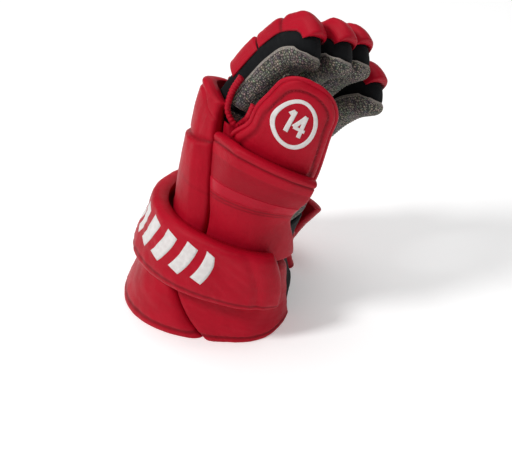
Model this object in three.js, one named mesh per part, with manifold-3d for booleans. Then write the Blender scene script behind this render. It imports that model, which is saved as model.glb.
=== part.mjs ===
// Ice hockey glove for the left hand, standing on its cuff, in millimetres, +Z up.
// -X is the back of the glove, +X the palm, -Y the thumb side and +Y the little finger side.
// The hand bag is one lofted hollow; every pad lies on it, or on a finger, at a stated height above it.
import * as THREE from "three";
import { mergeVertices } from "three/addons/utils/BufferGeometryUtils.js";
import Module from "manifold-3d";

// Hand bag: outer face of the lining, at the rim, the wrist and the knuckles
const RIM_BACK = 91;
const RIM_PALM = 58;
const RIM_SIDE = 75;
const WRIST_HEIGHT = 100;
const WRIST_BACK = 50;
const WRIST_PALM = 46;
const WRIST_SIDE = 60;
const KNUCKLE_HEIGHT = 198;
const KNUCKLE_DEPTH = 37;
const KNUCKLE_TWIST = 50; // degrees that the hand turns its palm towards the thumb
const TWIST_START = 35; // height from which it turns
const KNUCKLE_X = -5;
const KNUCKLE_Y = 3;
const KNUCKLE_SLOPE = 0.28; // how steeply the line of the knuckles falls towards the little finger
const SLOPE_START = 100; // height from which it falls
// The glove stands on a level rim and leans from there towards the palm and the little finger
const LEAN_PALM = 15; // degrees
const LEAN_LITTLE = 10; // degrees
const LEAN_HEIGHT = 48; // height over which the cuff bends
const LINING_WALL = 2.4;
// Squareness of a section: 2 is an ellipse, and more is nearer a rectangle
const BACK_SQUARE = 2.3;
const PALM_SQUARE = 3;
const KNUCKLE_SQUARE = 5;
const FINGER_SQUARE = 2.8;
const THUMB_SQUARE = 2.4;
const REST = 1.2; // from the bag to the inner face of what lies on it
const FINGER_REST = 2.1; // the same on a finger
const CUT_GAP = 0.4; // left round a piece that another is cut to

// Padding
const GAUNTLET_THICK = 10;
const GAUNTLET_TOP = 68;
const ROLL_THICK = 17;
const ROLL_FOOT = 36;
const ROLL_TOP = 92;
const ROLL_FLARE = 9; // how far the top of the roll stands off further than its foot
const BACKHAND_THICK = 16;
const BACKHAND_FOOT = 80;
const BACKHAND_TOP = 218;
const THUMB_BLOCK_TOP = 215;
const WRIST_PAD_THICK = 14;
const WRIST_PAD_FOOT = 78;
const WRIST_PAD_TOP = 181;
const WRIST_PAD_CLIMB = 5; // how much higher its top is towards the palm
const PALM_THICK = 2;
const PALM_FOOT = 103;
const CUFF_PALM_THICK = 2.6;
const CUFF_PALM_TOP = 99;
const PAD_EDGE = 7; // width of a pad's rounded edge
const SHEET_EDGE = 3; // width over which a sheet thins to its edge
const SLIT = 1.2; // degrees between the panels of the cuff

// Fingers
const FINGER_PITCH = 30;
const FINGER_DEPTH = 34;
const FINGER_WIDTH = 26.6;
const FINGER_TIP_WIDTH = 25.6;
const FINGER_TIP_DEPTH = 33;
const FINGER_YAW = 42; // degrees from the palm towards the thumb side, of the plane the fingers bend in
const SLEEVE_WALL = 1.8;
const FINGER_PAD_THICK = 10;
const TIP_PAD_THICK = 9;
const STRIP_THICK = 1.6;
const STRIP_FOOT = 8; // distance along the finger
const STRIP_ROLL = 0.5; // how far it goes over the tip, as a share of the finger's depth
const FINGER_PAD_FOOT = 26; // distance along the finger
const TIP_PAD_ROLL = 0.6; // as for the strip
const BEND_SPAN = 26; // length of finger over which a joint turns

// Thumb
const THUMB_ROOT_X = 6;
const THUMB_ROOT_Y = -46;
const THUMB_ROOT_HEIGHT = 118;
const THUMB_TILT = 14;
const THUMB_YAW = 82;
const THUMB_LENGTH = 136;
const THUMB_WIDTH = 46;
const THUMB_DEPTH = 26;
const THUMB_PAD_WIDTH = 73;
const THUMB_PAD_CURVE = 56; // radius that the pad wraps round
const THUMB_PAD_FOOT = 66; // distance along the thumb
const THUMB_PAD_TOP = 162;
const THUMB_PAD_THICK = 11;
const THUMB_PAD_FLAT = 0.26; // width left at its very top, as a share
const THUMB_PAD_SPREAD = 10; // how much wider its foot is towards the back of the hand
const THUMB_PAD_SPREAD_TOP = 0.32; // the share of its height that is wider
const THUMB_PALM_FOOT = 84; // distance along the thumb
const THUMB_PALM_ROLL = 0.4;
const THUMB_PALM_TURN = 62;
const BINDING_RADIUS = 2.6;
const BINDING_LIFT = 7; // of its middle from the bag

const degrees = THREE.MathUtils.degToRad;
const clamp = THREE.MathUtils.clamp;
const mix = THREE.MathUtils.lerp;
const ease = (t) => THREE.MathUtils.smoothstep(t, 0, 1);
const QUARTER = Math.PI / 2;

function twistAt(z) {
  return degrees(KNUCKLE_TWIST) * ease((z - TWIST_START) / (KNUCKLE_HEIGHT - TWIST_START));
}

// A point of the hand bag's outer face, or lifted off it. turn is in degrees from the back,
// positive towards the thumb, and z is the height.
function shell(turn, z, lift = 0) {
  const open = Math.sin(QUARTER * clamp(z / WRIST_HEIGHT, 0, 1));
  const climb = clamp((z - WRIST_HEIGHT) / (KNUCKLE_HEIGHT - WRIST_HEIGHT), 0, 1);
  const close = 1 - Math.cos(QUARTER * climb);
  const angle = degrees(turn);
  const c = Math.cos(angle);
  const s = Math.sin(angle);
  const cuffReach = c > 0 ? mix(RIM_BACK, WRIST_BACK, open) : mix(RIM_PALM, WRIST_PALM, open);
  const reach = mix(cuffReach, KNUCKLE_DEPTH / 2, close);
  const side = mix(mix(RIM_SIDE, WRIST_SIDE, open), FINGER_PITCH * 2, close);
  const square = mix(c > 0 ? BACK_SQUARE : PALM_SQUARE, KNUCKLE_SQUARE, close * close);
  const unit = (Math.abs(c) ** square + Math.abs(s) ** square) ** (-1 / square);
  const nx = (-Math.sign(c) * Math.abs(unit * c) ** (square - 1)) / reach;
  const ny = (-Math.sign(s) * Math.abs(unit * s) ** (square - 1)) / side;
  const size = Math.hypot(nx, ny);
  const x = -reach * unit * c + (nx / size) * lift;
  const y = -side * unit * s + (ny / size) * lift;
  const twist = twistAt(z);
  return new THREE.Vector3(
    x * Math.cos(twist) + y * Math.sin(twist) + KNUCKLE_X * close,
    -x * Math.sin(twist) + y * Math.cos(twist) + KNUCKLE_Y * close,
    z,
  );
}

// A digit: its surface at a distance along its centre line. The section stays level at the root,
// where the digit stands on the hand bag, and turns square to the line as it climbs.
function digit(spec) {
  const yaw = degrees(spec.yaw);
  const bend = new THREE.Vector3(Math.cos(yaw), -Math.sin(yaw), 0);
  const side = new THREE.Vector3(Math.sin(yaw), Math.cos(yaw), 0);
  const turnAt = (s) =>
    degrees(
      spec.tilt +
        spec.first * ease((s - spec.joints[0] * spec.length) / BEND_SPAN + 0.5) +
        spec.second * ease((s - spec.joints[1] * spec.length) / BEND_SPAN + 0.5),
    );
  const line = [spec.root.clone()];
  for (let s = 1; s <= spec.length + 1; s++) {
    const angle = turnAt(s - 0.5);
    const next = line[line.length - 1].clone();
    next.addScaledVector(bend, Math.sin(angle));
    next.addScaledVector(side, spec.drift);
    next.z += Math.cos(angle);
    line.push(next);
  }
  const centre = (s) => {
    const at = clamp(s, 0, line.length - 1.001);
    return line[Math.floor(at)].clone().lerp(line[Math.floor(at) + 1], at % 1);
  };
  const frame = (s) => {
    const turn = turnAt(s) * ease(s / BEND_SPAN);
    const back = bend.clone().multiplyScalar(-Math.cos(turn));
    back.z += Math.sin(turn);
    const ahead = bend.clone().multiplyScalar(Math.sin(turn));
    ahead.z += Math.cos(turn);
    return { back, ahead };
  };
  // A point round the digit: around is in degrees from its back, positive towards the little
  // finger's side. Past the end of the line the surface rolls over the tip.
  const point = (s, around, lift = 0, spread = lift) => {
    const along = clamp(s, 0, spec.length);
    const share = along / spec.length;
    const depth = mix(spec.depth, spec.tipDepth, share) / 2 + lift;
    const width = (spec.widthAt ? spec.widthAt(share) : mix(spec.width, spec.tipWidth, share)) / 2 + spread;
    const { back, ahead } = frame(along);
    const over = Math.max(0, s - spec.length) / (spec.tipDepth / 2);
    const c = Math.cos(degrees(around));
    const sn = Math.sin(degrees(around));
    const unit = (Math.abs(c) ** spec.square + Math.abs(sn) ** spec.square) ** (-1 / spec.square);
    return centre(along)
      .addScaledVector(back, depth * unit * c * Math.cos(over))
      .addScaledVector(ahead, depth * unit * Math.abs(c) * Math.sin(over))
      .addScaledVector(side, width * unit * sn);
  };
  return { ...spec, point, centre, frame, side };
}

// Fingers from the index: the tilt at the knuckle and the turn of each joint in degrees, the
// length to the centre of the tip, and where the joints are, as shares of that length
const FINGERS = [
  { name: "index", tilt: 27, first: 9, second: 28, length: 112, joints: [0.6, 0.86] },
  { name: "middle", tilt: 26, first: 12, second: 20, length: 121, joints: [0.53, 0.82] },
  { name: "ring", tilt: 22, first: 12, second: 18, length: 117, joints: [0.52, 0.8] },
  { name: "little", tilt: 31, first: 10, second: 16, length: 95, joints: [0.5, 0.78] },
];

const fingers = FINGERS.map((row, i) => {
  const off = (i - (FINGERS.length - 1) / 2) * FINGER_PITCH;
  const twist = degrees(KNUCKLE_TWIST);
  const x = KNUCKLE_X + off * Math.sin(twist);
  const y = KNUCKLE_Y + off * Math.cos(twist);
  return digit({
    ...row,
    root: new THREE.Vector3(x, y, KNUCKLE_HEIGHT + CUT_GAP),
    yaw: FINGER_YAW,
    drift: 0,
    width: FINGER_WIDTH,
    tipWidth: FINGER_TIP_WIDTH,
    depth: FINGER_DEPTH,
    tipDepth: FINGER_TIP_DEPTH,
    square: FINGER_SQUARE,
  });
});

// The thumb is wide where it leaves the palm
const THUMB_WIDTHS = [1, 1.3, 1.4, 1.2, 1, 1];
const thumb = digit({
  root: new THREE.Vector3(THUMB_ROOT_X, THUMB_ROOT_Y, THUMB_ROOT_HEIGHT),
  tilt: THUMB_TILT,
  first: 0,
  second: -5,
  joints: [0.4, 0.7],
  yaw: THUMB_YAW,
  drift: 0.08,
  length: THUMB_LENGTH,
  widthAt: (share) => {
    const at = share * (THUMB_WIDTHS.length - 1);
    const i = Math.min(Math.floor(at), THUMB_WIDTHS.length - 2);
    return THUMB_WIDTH * mix(THUMB_WIDTHS[i], THUMB_WIDTHS[i + 1], ease(at - i));
  },
  depth: THUMB_DEPTH,
  tipDepth: THUMB_DEPTH,
  square: THUMB_SQUARE,
});

// Stations across a pad: over its rounded edge, where it rises to its full height, then even
// steps. A square edge rises at once.
const EDGE_TURNS = [0, 38, 90];
const SHEET_TURNS = [0, 90];
const EDGE_SQUARE = 2.4;
const SQUARE_EDGE = [
  { at: 0, rise: 0 },
  { at: 0, rise: 0.8 },
];
function stations(length, edge, steps, turns, squareStart = false) {
  const share = Math.min(edge / length, 0.45);
  const rim = turns.map((turn) => ({
    at: share * (1 - Math.cos(degrees(turn)) ** (2 / EDGE_SQUARE)),
    rise: Math.sin(degrees(turn)) ** (2 / EDGE_SQUARE),
  }));
  const middle = [];
  for (let i = 1; i < steps; i++) {
    middle.push({ at: mix(share, 1 - share, i / steps), rise: 1 });
  }
  const end = rim.map(({ at, rise }) => ({ at: 1 - at, rise })).reverse();
  const start = squareStart ? [...SQUARE_EDGE, rim[rim.length - 1]] : rim;
  return [...start, ...middle, ...end];
}

function surface(vertices, faces) {
  const geometry = new THREE.BufferGeometry();
  geometry.setAttribute("position", new THREE.Float32BufferAttribute(vertices, 3));
  geometry.setIndex(faces);
  return geometry;
}

// Turns every face round if together they enclose a negative volume
function facingOut(vertices, faces) {
  const at = (i) => new THREE.Vector3().fromArray(vertices, 3 * i);
  let volume = 0;
  for (let i = 0; i < faces.length; i += 3) {
    volume += at(faces[i]).dot(at(faces[i + 1]).cross(at(faces[i + 2])));
  }
  return surface(vertices, volume < 0 ? [...faces].reverse() : faces);
}

// Vertices that share a place, kept once, and faces between them without the ones that collapse
function weave() {
  const vertices = [];
  const known = new Map();
  const faces = [];
  const vertex = (p) => {
    const key = [p.x, p.y, p.z].map((value) => value.toFixed(4)).join();
    if (!known.has(key)) {
      known.set(key, vertices.length / 3);
      vertices.push(p.x, p.y, p.z);
    }
    return known.get(key);
  };
  const triangle = (a, b, c) => {
    if (a !== b && b !== c && c !== a) faces.push(a, b, c);
  };
  const between = (a, b) => {
    const [ax, ay, az] = vertices.slice(3 * a, 3 * a + 3);
    return Math.hypot(ax - vertices[3 * b], ay - vertices[3 * b + 1], az - vertices[3 * b + 2]);
  };
  // Two triangles across the shorter diagonal, or across the one through a given vertex
  const quad = (a, b, c, d, through) => {
    const isGiven = [a, b, c, d].includes(through);
    if (isGiven ? through === a || through === c : between(a, c) <= between(b, d)) {
      triangle(a, b, c);
      triangle(a, c, d);
    } else {
      triangle(a, b, d);
      triangle(b, c, d);
    }
  };
  return { vertex, triangle, quad, close: () => facingOut(vertices, faces) };
}

function lengthOf(path) {
  let length = 0;
  for (let i = 0; i < 12; i++) length += path(i / 12).distanceTo(path((i + 1) / 12));
  return length;
}

// A pad: base(u, v, lift) gives a point for u and v from 0 to 1 and a height above what carries
// it. The outer face rises from the outline, rounds over its edge and is slightly crowned, and the
// inner face lies on what carries it.
function pad({ base, thick, across, up, edge = PAD_EDGE, crown = 0.1, rest = REST, squareFoot = false }) {
  const turns = edge > thick ? SHEET_TURNS : EDGE_TURNS;
  const us = stations(lengthOf((t) => base(t, 0.5, 0)), edge, across, turns);
  const vs = stations(lengthOf((t) => base(0.5, t, 0)), edge, up, turns, squareFoot);
  const mesh = weave();
  const grid = [0, 1].map((outer) =>
    us.map(({ at: u, rise: riseU }) =>
      vs.map(({ at: v, rise: riseV }) => {
        const dome = 1 - crown * ((2 * u - 1) ** 2 + (2 * v - 1) ** 2);
        return mesh.vertex(base(u, v, rest + outer * riseU * riseV * thick * dome));
      }),
    ),
  );
  // Both faces of the pad fold at its four tips, so their diagonals there go through the tip
  const tips = [0, us.length - 1].flatMap((i) => [0, vs.length - 1].map((j) => grid[0][i][j]));
  for (let i = 0; i + 1 < us.length; i++) {
    for (let j = 0; j + 1 < vs.length; j++) {
      for (const [k, side] of grid.entries()) {
        const corners = [side[i][j], side[i + 1][j], side[i + 1][j + 1], side[i][j + 1]];
        const tip = corners.find((corner) => tips.includes(corner));
        mesh.quad(...(k === 1 ? corners : corners.reverse()), tip);
      }
    }
  }
  return mesh.close();
}

// A sheet of cloth or leather: a thin pad with no crown
function sheet(spec) {
  return pad({ ...spec, edge: SHEET_EDGE, crown: 0 });
}

// A closed skin through rings, each a function from a turn in degrees to a point. With loop the
// last ring joins the first, and otherwise both end rings close on their middles.
function skin(rings, count, loop) {
  const mesh = weave();
  const places = rings.map((ring) => Array.from({ length: count }, (_, k) => ring((360 * k) / count)));
  const grid = places.map((ring) => ring.map((p) => mesh.vertex(p)));
  for (let r = 0; r < (loop ? grid.length : grid.length - 1); r++) {
    const next = grid[(r + 1) % grid.length];
    for (let k = 0; k < count; k++) {
      const k1 = (k + 1) % count;
      mesh.quad(grid[r][k], grid[r][k1], next[k1], next[k]);
    }
  }
  if (!loop) {
    for (const r of [0, grid.length - 1]) {
      const middle = places[r].reduce((sum, p) => sum.add(p), new THREE.Vector3());
      const pole = mesh.vertex(middle.divideScalar(count));
      for (let k = 0; k < count; k++) {
        const pair = [grid[r][k], grid[r][(k + 1) % count]];
        mesh.triangle(pole, ...(r === 0 ? pair.reverse() : pair));
      }
    }
  }
  return mesh.close();
}

// Rings up a digit and over its tip, at a depth below its surface
const TIP_ROWS = [30, 62];
function digitRings(d, depth, steps) {
  const rings = [];
  for (let i = 0; i <= steps; i++) {
    rings.push((turn) => d.point((d.length * i) / steps, turn, -depth));
  }
  const radius = d.tipDepth / 2 - depth;
  const end = d.centre(d.length);
  const { ahead } = d.frame(d.length);
  for (const row of TIP_ROWS) {
    rings.push((turn) => {
      const p = d.point(d.length, turn, -depth).sub(end).multiplyScalar(Math.cos(degrees(row)));
      return p.add(end).addScaledVector(ahead, radius * Math.sin(degrees(row)));
    });
  }
  return rings;
}
function sleeve(d, sides, steps) {
  return skin([...digitRings(d, SLEEVE_WALL, steps).reverse(), ...digitRings(d, 0, steps)], sides, false);
}

// Solids for boolean work
const wasm = await Module();
wasm.setup();
function solid(geometry) {
  const merged = mergeVertices(geometry, 1e-4);
  return new wasm.Manifold(
    new wasm.Mesh({
      numProp: 3,
      vertProperties: merged.attributes.position.array,
      triVerts: new Uint32Array(merged.index.array),
    }),
  );
}
function geometryOf(manifold) {
  const mesh = manifold.getMesh();
  return surface(Array.from(mesh.vertProperties), Array.from(mesh.triVerts));
}

// A patch of the hand bag between two lines, each from a turn at its foot to a turn at its top.
// flare is how much further off its top stands, and fall how much lower the second line ends.
function onShell({ foot, top, from, to, flare = 0, fall = 0 }) {
  return (u, v, lift) => {
    const turn = mix(mix(from[0], from[1], v), mix(to[0], to[1], v), u);
    return shell(turn, mix(foot, top - fall * u, v), lift + flare * v);
  };
}
// A patch of a digit between two distances along it and two turns round it
function onDigit(d, { from, to, turns, spread }) {
  return (u, v, lift) => d.point(mix(from, to, v), mix(turns[0], turns[1], u), lift, spread);
}

const nylon = { color: 0xb3182b, roughness: 0.55, metalness: 0 };
const gusset = { color: 0x17181b, roughness: 0.85, metalness: 0 };
const leather = { color: 0x6d655f, roughness: 0.9, metalness: 0 };
const knit = { color: 0x6f757b, roughness: 0.9, metalness: 0 };

// The line of the knuckles falls from the index finger to the little finger, and the hand with it
const fallWay = new THREE.Vector3(Math.sin(degrees(KNUCKLE_TWIST)), Math.cos(degrees(KNUCKLE_TWIST)), 0);
const fallFrom = new THREE.Vector3(KNUCKLE_X, KNUCKLE_Y, 0).addScaledVector(fallWay, -1.5 * FINGER_PITCH);
function slope(p) {
  const share = ease((p.z - SLOPE_START) / (KNUCKLE_HEIGHT - SLOPE_START));
  return p.setZ(p.z - KNUCKLE_SLOPE * share * p.clone().sub(fallFrom).dot(fallWay));
}

// The standing place of a point: the cuff bends at a steady rate up to LEAN_HEIGHT, and what is
// above leans as one
const leanX = Math.tan(degrees(LEAN_PALM));
const leanY = Math.tan(degrees(LEAN_LITTLE));
const leanAngle = Math.atan(Math.hypot(leanX, leanY));
const leanWay = new THREE.Vector3(leanX, leanY, 0).normalize();
function lean(p) {
  const bent = clamp(p.z, 0, LEAN_HEIGHT);
  const angle = (leanAngle * bent) / LEAN_HEIGHT;
  const radius = LEAN_HEIGHT / leanAngle;
  const reach = p.dot(leanWay);
  const out = reach * Math.cos(angle) + radius * (1 - Math.cos(angle)) + (p.z - bent) * Math.sin(angle);
  const z = -reach * Math.sin(angle) + radius * Math.sin(angle) + (p.z - bent) * Math.cos(angle);
  return new THREE.Vector3(p.x, p.y, 0).addScaledVector(leanWay, out - reach).setZ(z);
}

// Places are kept to a hundredth of a millimetre, but for pieces that are cut out of others
const rounded = (length) => Math.round(100 * length) / 100;

const glove = new THREE.Group();
function add(name, geometry, look, isCut = false) {
  const place = geometry.getAttribute("position");
  const p = new THREE.Vector3();
  for (let i = 0; i < place.count; i++) {
    const stood = lean(slope(p.fromBufferAttribute(place, i))).toArray();
    place.setXYZ(i, ...(isCut ? stood : stood.map(rounded)));
  }
  const mesh = new THREE.Mesh(geometry, new THREE.MeshStandardMaterial(look));
  mesh.name = name;
  glove.add(mesh);
}

// Hand bag, open at the cuff and at the knuckles, with a hole where the thumb joins
const BAG_LEVELS = [0, 0.11, 0.22, 0.33, 0.45, 0.56, 0.66, 0.76, 0.84, 0.91, 0.96, 1];
const BAG_SIDES = 32;
const THUMB_SIDES = 16;
const THUMB_STEPS = 7;
const bagRings = (lift) => BAG_LEVELS.map((share) => (turn) => shell(turn, share * KNUCKLE_HEIGHT, lift));
const bag = solid(skin([...bagRings(-LINING_WALL).reverse(), ...bagRings(0)], BAG_SIDES, true));
const bagEnvelope = solid(skin(bagRings(CUT_GAP), BAG_SIDES, false));
const thumbCore = solid(skin(digitRings(thumb, SLEEVE_WALL, THUMB_STEPS), THUMB_SIDES, false));
const thumbEnvelope = solid(skin(digitRings(thumb, -CUT_GAP, THUMB_STEPS), THUMB_SIDES, false));
add("lining", geometryOf(bag.subtract(thumbCore)), knit, true);
const thumbSkin = solid(sleeve(thumb, THUMB_SIDES, THUMB_STEPS));
add("thumb_sleeve", geometryOf(thumbSkin.subtract(bagEnvelope)), gusset, true);

// Cuff: gauntlet panels that meet at slanting slits, a thin palm side, and the roll over them
const SLIT_FOOT = 84;
const SLIT_TOP = 28;
const GAUNTLET_END = { thumb: 161, little: 150 };
const gauntlet = { thick: GAUNTLET_THICK, up: 3, squareFoot: true };
const gauntletBand = { foot: 0, top: GAUNTLET_TOP };
add(
  "gauntlet_back",
  pad({
    ...gauntlet,
    base: onShell({ ...gauntletBand, from: [-SLIT_FOOT, -SLIT_TOP], to: [SLIT_FOOT, SLIT_TOP] }),
    across: 14,
  }),
  nylon,
);
for (const [side, way] of [
  ["thumb", 1],
  ["little", -1],
]) {
  const from = [way * (SLIT_FOOT + SLIT), way * (SLIT_TOP + SLIT)];
  const to = [way * GAUNTLET_END[side], way * GAUNTLET_END[side]];
  const base = onShell({ ...gauntletBand, from, to });
  add(`gauntlet_${side}`, pad({ ...gauntlet, base, across: 7 }), nylon);
}
const palmStart = GAUNTLET_END.thumb + SLIT;
const palmEnd = 360 - GAUNTLET_END.little - SLIT;
add(
  "cuff_palm",
  sheet({
    base: onShell({ foot: 0, top: CUFF_PALM_TOP, from: [palmStart, palmStart], to: [palmEnd, palmEnd] }),
    thick: CUFF_PALM_THICK,
    across: 5,
    up: 4,
    squareFoot: true,
  }),
  gusset,
);
const ROLL_END = 134;
const rollEnds = { from: [-ROLL_END, -ROLL_END], to: [ROLL_END, ROLL_END] };
add(
  "cuff_roll",
  pad({
    base: onShell({ foot: ROLL_FOOT, top: ROLL_TOP, ...rollEnds, flare: ROLL_FLARE }),
    thick: ROLL_THICK,
    across: 20,
    up: 3,
    edge: 2 * PAD_EDGE,
    rest: REST + GAUNTLET_THICK + REST,
  }),
  nylon,
);

// Back of the hand: three blocks side by side, wider apart at the knuckles
const BACKHAND = [
  { name: "backhand_thumb", from: [26, 33], to: [74, 124], top: THUMB_BLOCK_TOP, fall: 13 },
  { name: "backhand_centre", from: [-24, -29], to: [24, 31], top: BACKHAND_TOP },
  { name: "backhand_little", from: [-80, -102], to: [-26, -31], top: BACKHAND_TOP },
];
for (const { name, ...patch } of BACKHAND) {
  const base = onShell({ foot: BACKHAND_FOOT, ...patch });
  add(name, pad({ base, thick: BACKHAND_THICK, across: 4, up: 5 }), nylon);
}

// Palm leather, cut where the thumb comes through
const PALM_SIDES = { from: [128, 130], to: [270, 258] };
const palmBase = onShell({ foot: PALM_FOOT, top: KNUCKLE_HEIGHT, ...PALM_SIDES });
const palmSkin = sheet({ base: palmBase, thick: PALM_THICK, across: 13, up: 6 });
add("palm", geometryOf(solid(palmSkin).subtract(thumbEnvelope)), leather, true);

// Thumb: a broad pad in front, leather towards the palm
function thumbFace(across, along, lift) {
  const angle = across / THUMB_PAD_CURVE;
  const { back, ahead } = thumb.frame(along);
  const out = THUMB_DEPTH / 2 + REST - THUMB_PAD_CURVE * (1 - Math.cos(angle)) + lift * Math.cos(angle);
  return thumb
    .centre(Math.min(along, THUMB_LENGTH))
    .addScaledVector(ahead, Math.max(0, along - THUMB_LENGTH))
    .addScaledVector(back, -out)
    .addScaledVector(thumb.side, (THUMB_PAD_CURVE + lift) * Math.sin(angle));
}
// A tongue: straight sides below, a half round above
const tongue = (u, v, lift) => {
  const half = THUMB_PAD_WIDTH / 2;
  const round = half / (THUMB_PAD_TOP - THUMB_PAD_FOOT);
  const past = Math.max(0, (v - 1 + round) / round);
  const a = 2 * u - 1;
  const spread = a < 0 ? THUMB_PAD_SPREAD * ease(1 - v / THUMB_PAD_SPREAD_TOP) : 0;
  const width = spread + half * Math.sqrt(1 - (1 - THUMB_PAD_FLAT ** 2) * past * past);
  return thumbFace(a * width, mix(THUMB_PAD_FOOT, THUMB_PAD_TOP, v), lift);
};
add("thumb_pad", pad({ base: tongue, thick: THUMB_PAD_THICK, across: 6, up: 7 }), nylon);
add(
  "thumb_palm",
  sheet({
    base: onDigit(thumb, {
      from: THUMB_PALM_FOOT,
      to: THUMB_LENGTH + THUMB_PALM_ROLL * THUMB_DEPTH,
      turns: [-THUMB_PALM_TURN, THUMB_PALM_TURN],
    }),
    thick: STRIP_THICK,
    across: 4,
    up: 7,
  }),
  leather,
);

// Wrist pad: on the bag at its foot, and in front of the thumb's pad at its top
const WRIST_PAD_END = 160; // degrees round to the palm
const WRIST_PAD_ACROSS = [-44, 28];
const WRIST_PAD_PASS = { from: 0.13, to: 0.8 }; // shares of its height between bag and thumb
const WRIST_PAD_SIDE = 0.25; // share of its width that stays on the bag's side
const wristPad = (u, v, lift) => {
  const height = mix(WRIST_PAD_FOOT, WRIST_PAD_TOP + WRIST_PAD_CLIMB * u, v);
  const { to, top, fall } = BACKHAND[0];
  const start = mix(to[0], to[1], (height - BACKHAND_FOOT) / (top - fall - BACKHAND_FOOT)) + SLIT;
  const low = shell(mix(start, WRIST_PAD_END, u), height, PALM_THICK + REST + lift);
  const along = (height - THUMB_ROOT_HEIGHT) / Math.cos(degrees(THUMB_TILT));
  const high = thumbFace(mix(...WRIST_PAD_ACROSS, u), along, THUMB_PAD_THICK + 2 * REST + lift);
  const passed = (v - WRIST_PAD_PASS.from) / (WRIST_PAD_PASS.to - WRIST_PAD_PASS.from);
  return low.lerp(high, ease(passed) * ease(u / WRIST_PAD_SIDE)).setZ(height);
};
add("wrist_pad", pad({ base: wristPad, thick: WRIST_PAD_THICK, across: 8, up: 5 }), nylon);

// Fingers: hollow sleeves with two pads on the back and a strip of leather on the palm side
const FINGER_SIDES = 12;
const FINGER_STEPS = 6;
const BACK_TURN = 62;
const KNUCKLE_GAP = 1; // from a finger's joint to the pads on both sides of it
const STRIP_TURNS = [142, 266]; // from the palm side of a finger round to its thumb side
for (const finger of fingers) {
  const knuckle = finger.joints[0] * finger.length;
  const tip = (roll) => finger.length + roll * FINGER_TIP_DEPTH;
  const back = { turns: [-BACK_TURN, BACK_TURN], spread: CUT_GAP };
  add(`${finger.name}_sleeve`, sleeve(finger, FINGER_SIDES, FINGER_STEPS), gusset);
  add(
    `${finger.name}_base_pad`,
    pad({
      base: onDigit(finger, { ...back, from: FINGER_PAD_FOOT, to: knuckle - KNUCKLE_GAP }),
      thick: FINGER_PAD_THICK,
      across: 4,
      up: 2,
    }),
    nylon,
  );
  add(
    `${finger.name}_tip_pad`,
    pad({
      base: onDigit(finger, { ...back, from: knuckle + KNUCKLE_GAP, to: tip(TIP_PAD_ROLL) }),
      thick: TIP_PAD_THICK,
      across: 4,
      up: 5,
      rest: FINGER_REST,
    }),
    nylon,
  );
  add(
    `${finger.name}_strip`,
    sheet({
      base: onDigit(finger, { from: STRIP_FOOT, to: tip(STRIP_ROLL), turns: STRIP_TURNS }),
      thick: STRIP_THICK,
      across: 5,
      up: 7,
      rest: FINGER_REST,
    }),
    leather,
  );
}

// Binding round the crotch of the thumb: down the side of the thumb's pad, over the hand bag and
// up the index finger
const BINDING_STEPS = 22;
const BINDING_ON_THUMB = [{ along: 109 }, { along: 94 }];
const BINDING_ON_BAG = [
  { turn: 140, height: 194 },
  { turn: 134, height: 189 },
  { turn: 127, height: 197 },
];
const BINDING_ON_INDEX = [
  { along: 20, around: -104 },
  { along: 40, around: -96 },
];
const beside = -(THUMB_PAD_WIDTH / 2 + BINDING_RADIUS + REST);
const bindingPath = new THREE.CatmullRomCurve3([
  ...BINDING_ON_THUMB.map(({ along }) => thumbFace(beside, along, BINDING_RADIUS)),
  ...BINDING_ON_BAG.map(({ turn, height }) => shell(turn, height, BINDING_LIFT)),
  ...BINDING_ON_INDEX.map(({ along, around }) => fingers[0].point(along, around, BINDING_LIFT)),
]);
const round = new THREE.Shape().absarc(0, 0, BINDING_RADIUS, 0, 2 * Math.PI);
const extrusion = { steps: BINDING_STEPS, curveSegments: 4, extrudePath: bindingPath };
const binding = new THREE.ExtrudeGeometry(round, extrusion);
binding.deleteAttribute("normal");
binding.deleteAttribute("uv");
add("thumb_binding", binding, nylon);

// The origin is on the ground, below the middle of the glove
const box = new THREE.Box3().setFromObject(glove);
const middle = box.getCenter(new THREE.Vector3());
glove.position.set(-rounded(middle.x), -rounded(middle.y), -rounded(box.min.z));
glove.updateMatrixWorld(true);
export default glove;
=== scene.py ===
# Ice hockey glove for the left hand, standing on its cuff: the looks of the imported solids.
# Lengths in the drawing are millimetres, upright, before the glove leans; stand() makes them metres.
import math

import bpy
import numpy as np
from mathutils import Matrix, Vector


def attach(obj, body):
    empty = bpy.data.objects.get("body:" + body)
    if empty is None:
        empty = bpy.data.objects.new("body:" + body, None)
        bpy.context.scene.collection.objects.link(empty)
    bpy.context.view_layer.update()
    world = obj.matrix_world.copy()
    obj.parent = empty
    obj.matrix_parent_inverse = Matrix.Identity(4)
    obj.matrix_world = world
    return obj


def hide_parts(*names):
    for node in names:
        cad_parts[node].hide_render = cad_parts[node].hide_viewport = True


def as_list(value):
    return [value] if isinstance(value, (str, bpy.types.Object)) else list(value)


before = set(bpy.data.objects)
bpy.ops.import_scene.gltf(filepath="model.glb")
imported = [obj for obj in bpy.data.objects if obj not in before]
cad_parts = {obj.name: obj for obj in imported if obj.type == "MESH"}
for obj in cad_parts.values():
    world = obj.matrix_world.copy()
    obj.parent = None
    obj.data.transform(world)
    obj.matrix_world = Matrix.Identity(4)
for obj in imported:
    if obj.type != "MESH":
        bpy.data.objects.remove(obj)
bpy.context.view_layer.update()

# Hand bag, as in the part: at the rim, the wrist and the knuckles
RIM_BACK = 91
RIM_PALM = 58
RIM_SIDE = 75
WRIST_HEIGHT = 100
WRIST_BACK = 50
WRIST_PALM = 46
WRIST_SIDE = 60
KNUCKLE_HEIGHT = 198
KNUCKLE_DEPTH = 37
KNUCKLE_TWIST = 50  # degrees that the line of the knuckles is turned from the cuff
TWIST_START = 35
KNUCKLE_X = -5
KNUCKLE_Y = 3
KNUCKLE_SLOPE = 0.28
SLOPE_START = 100
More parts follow.
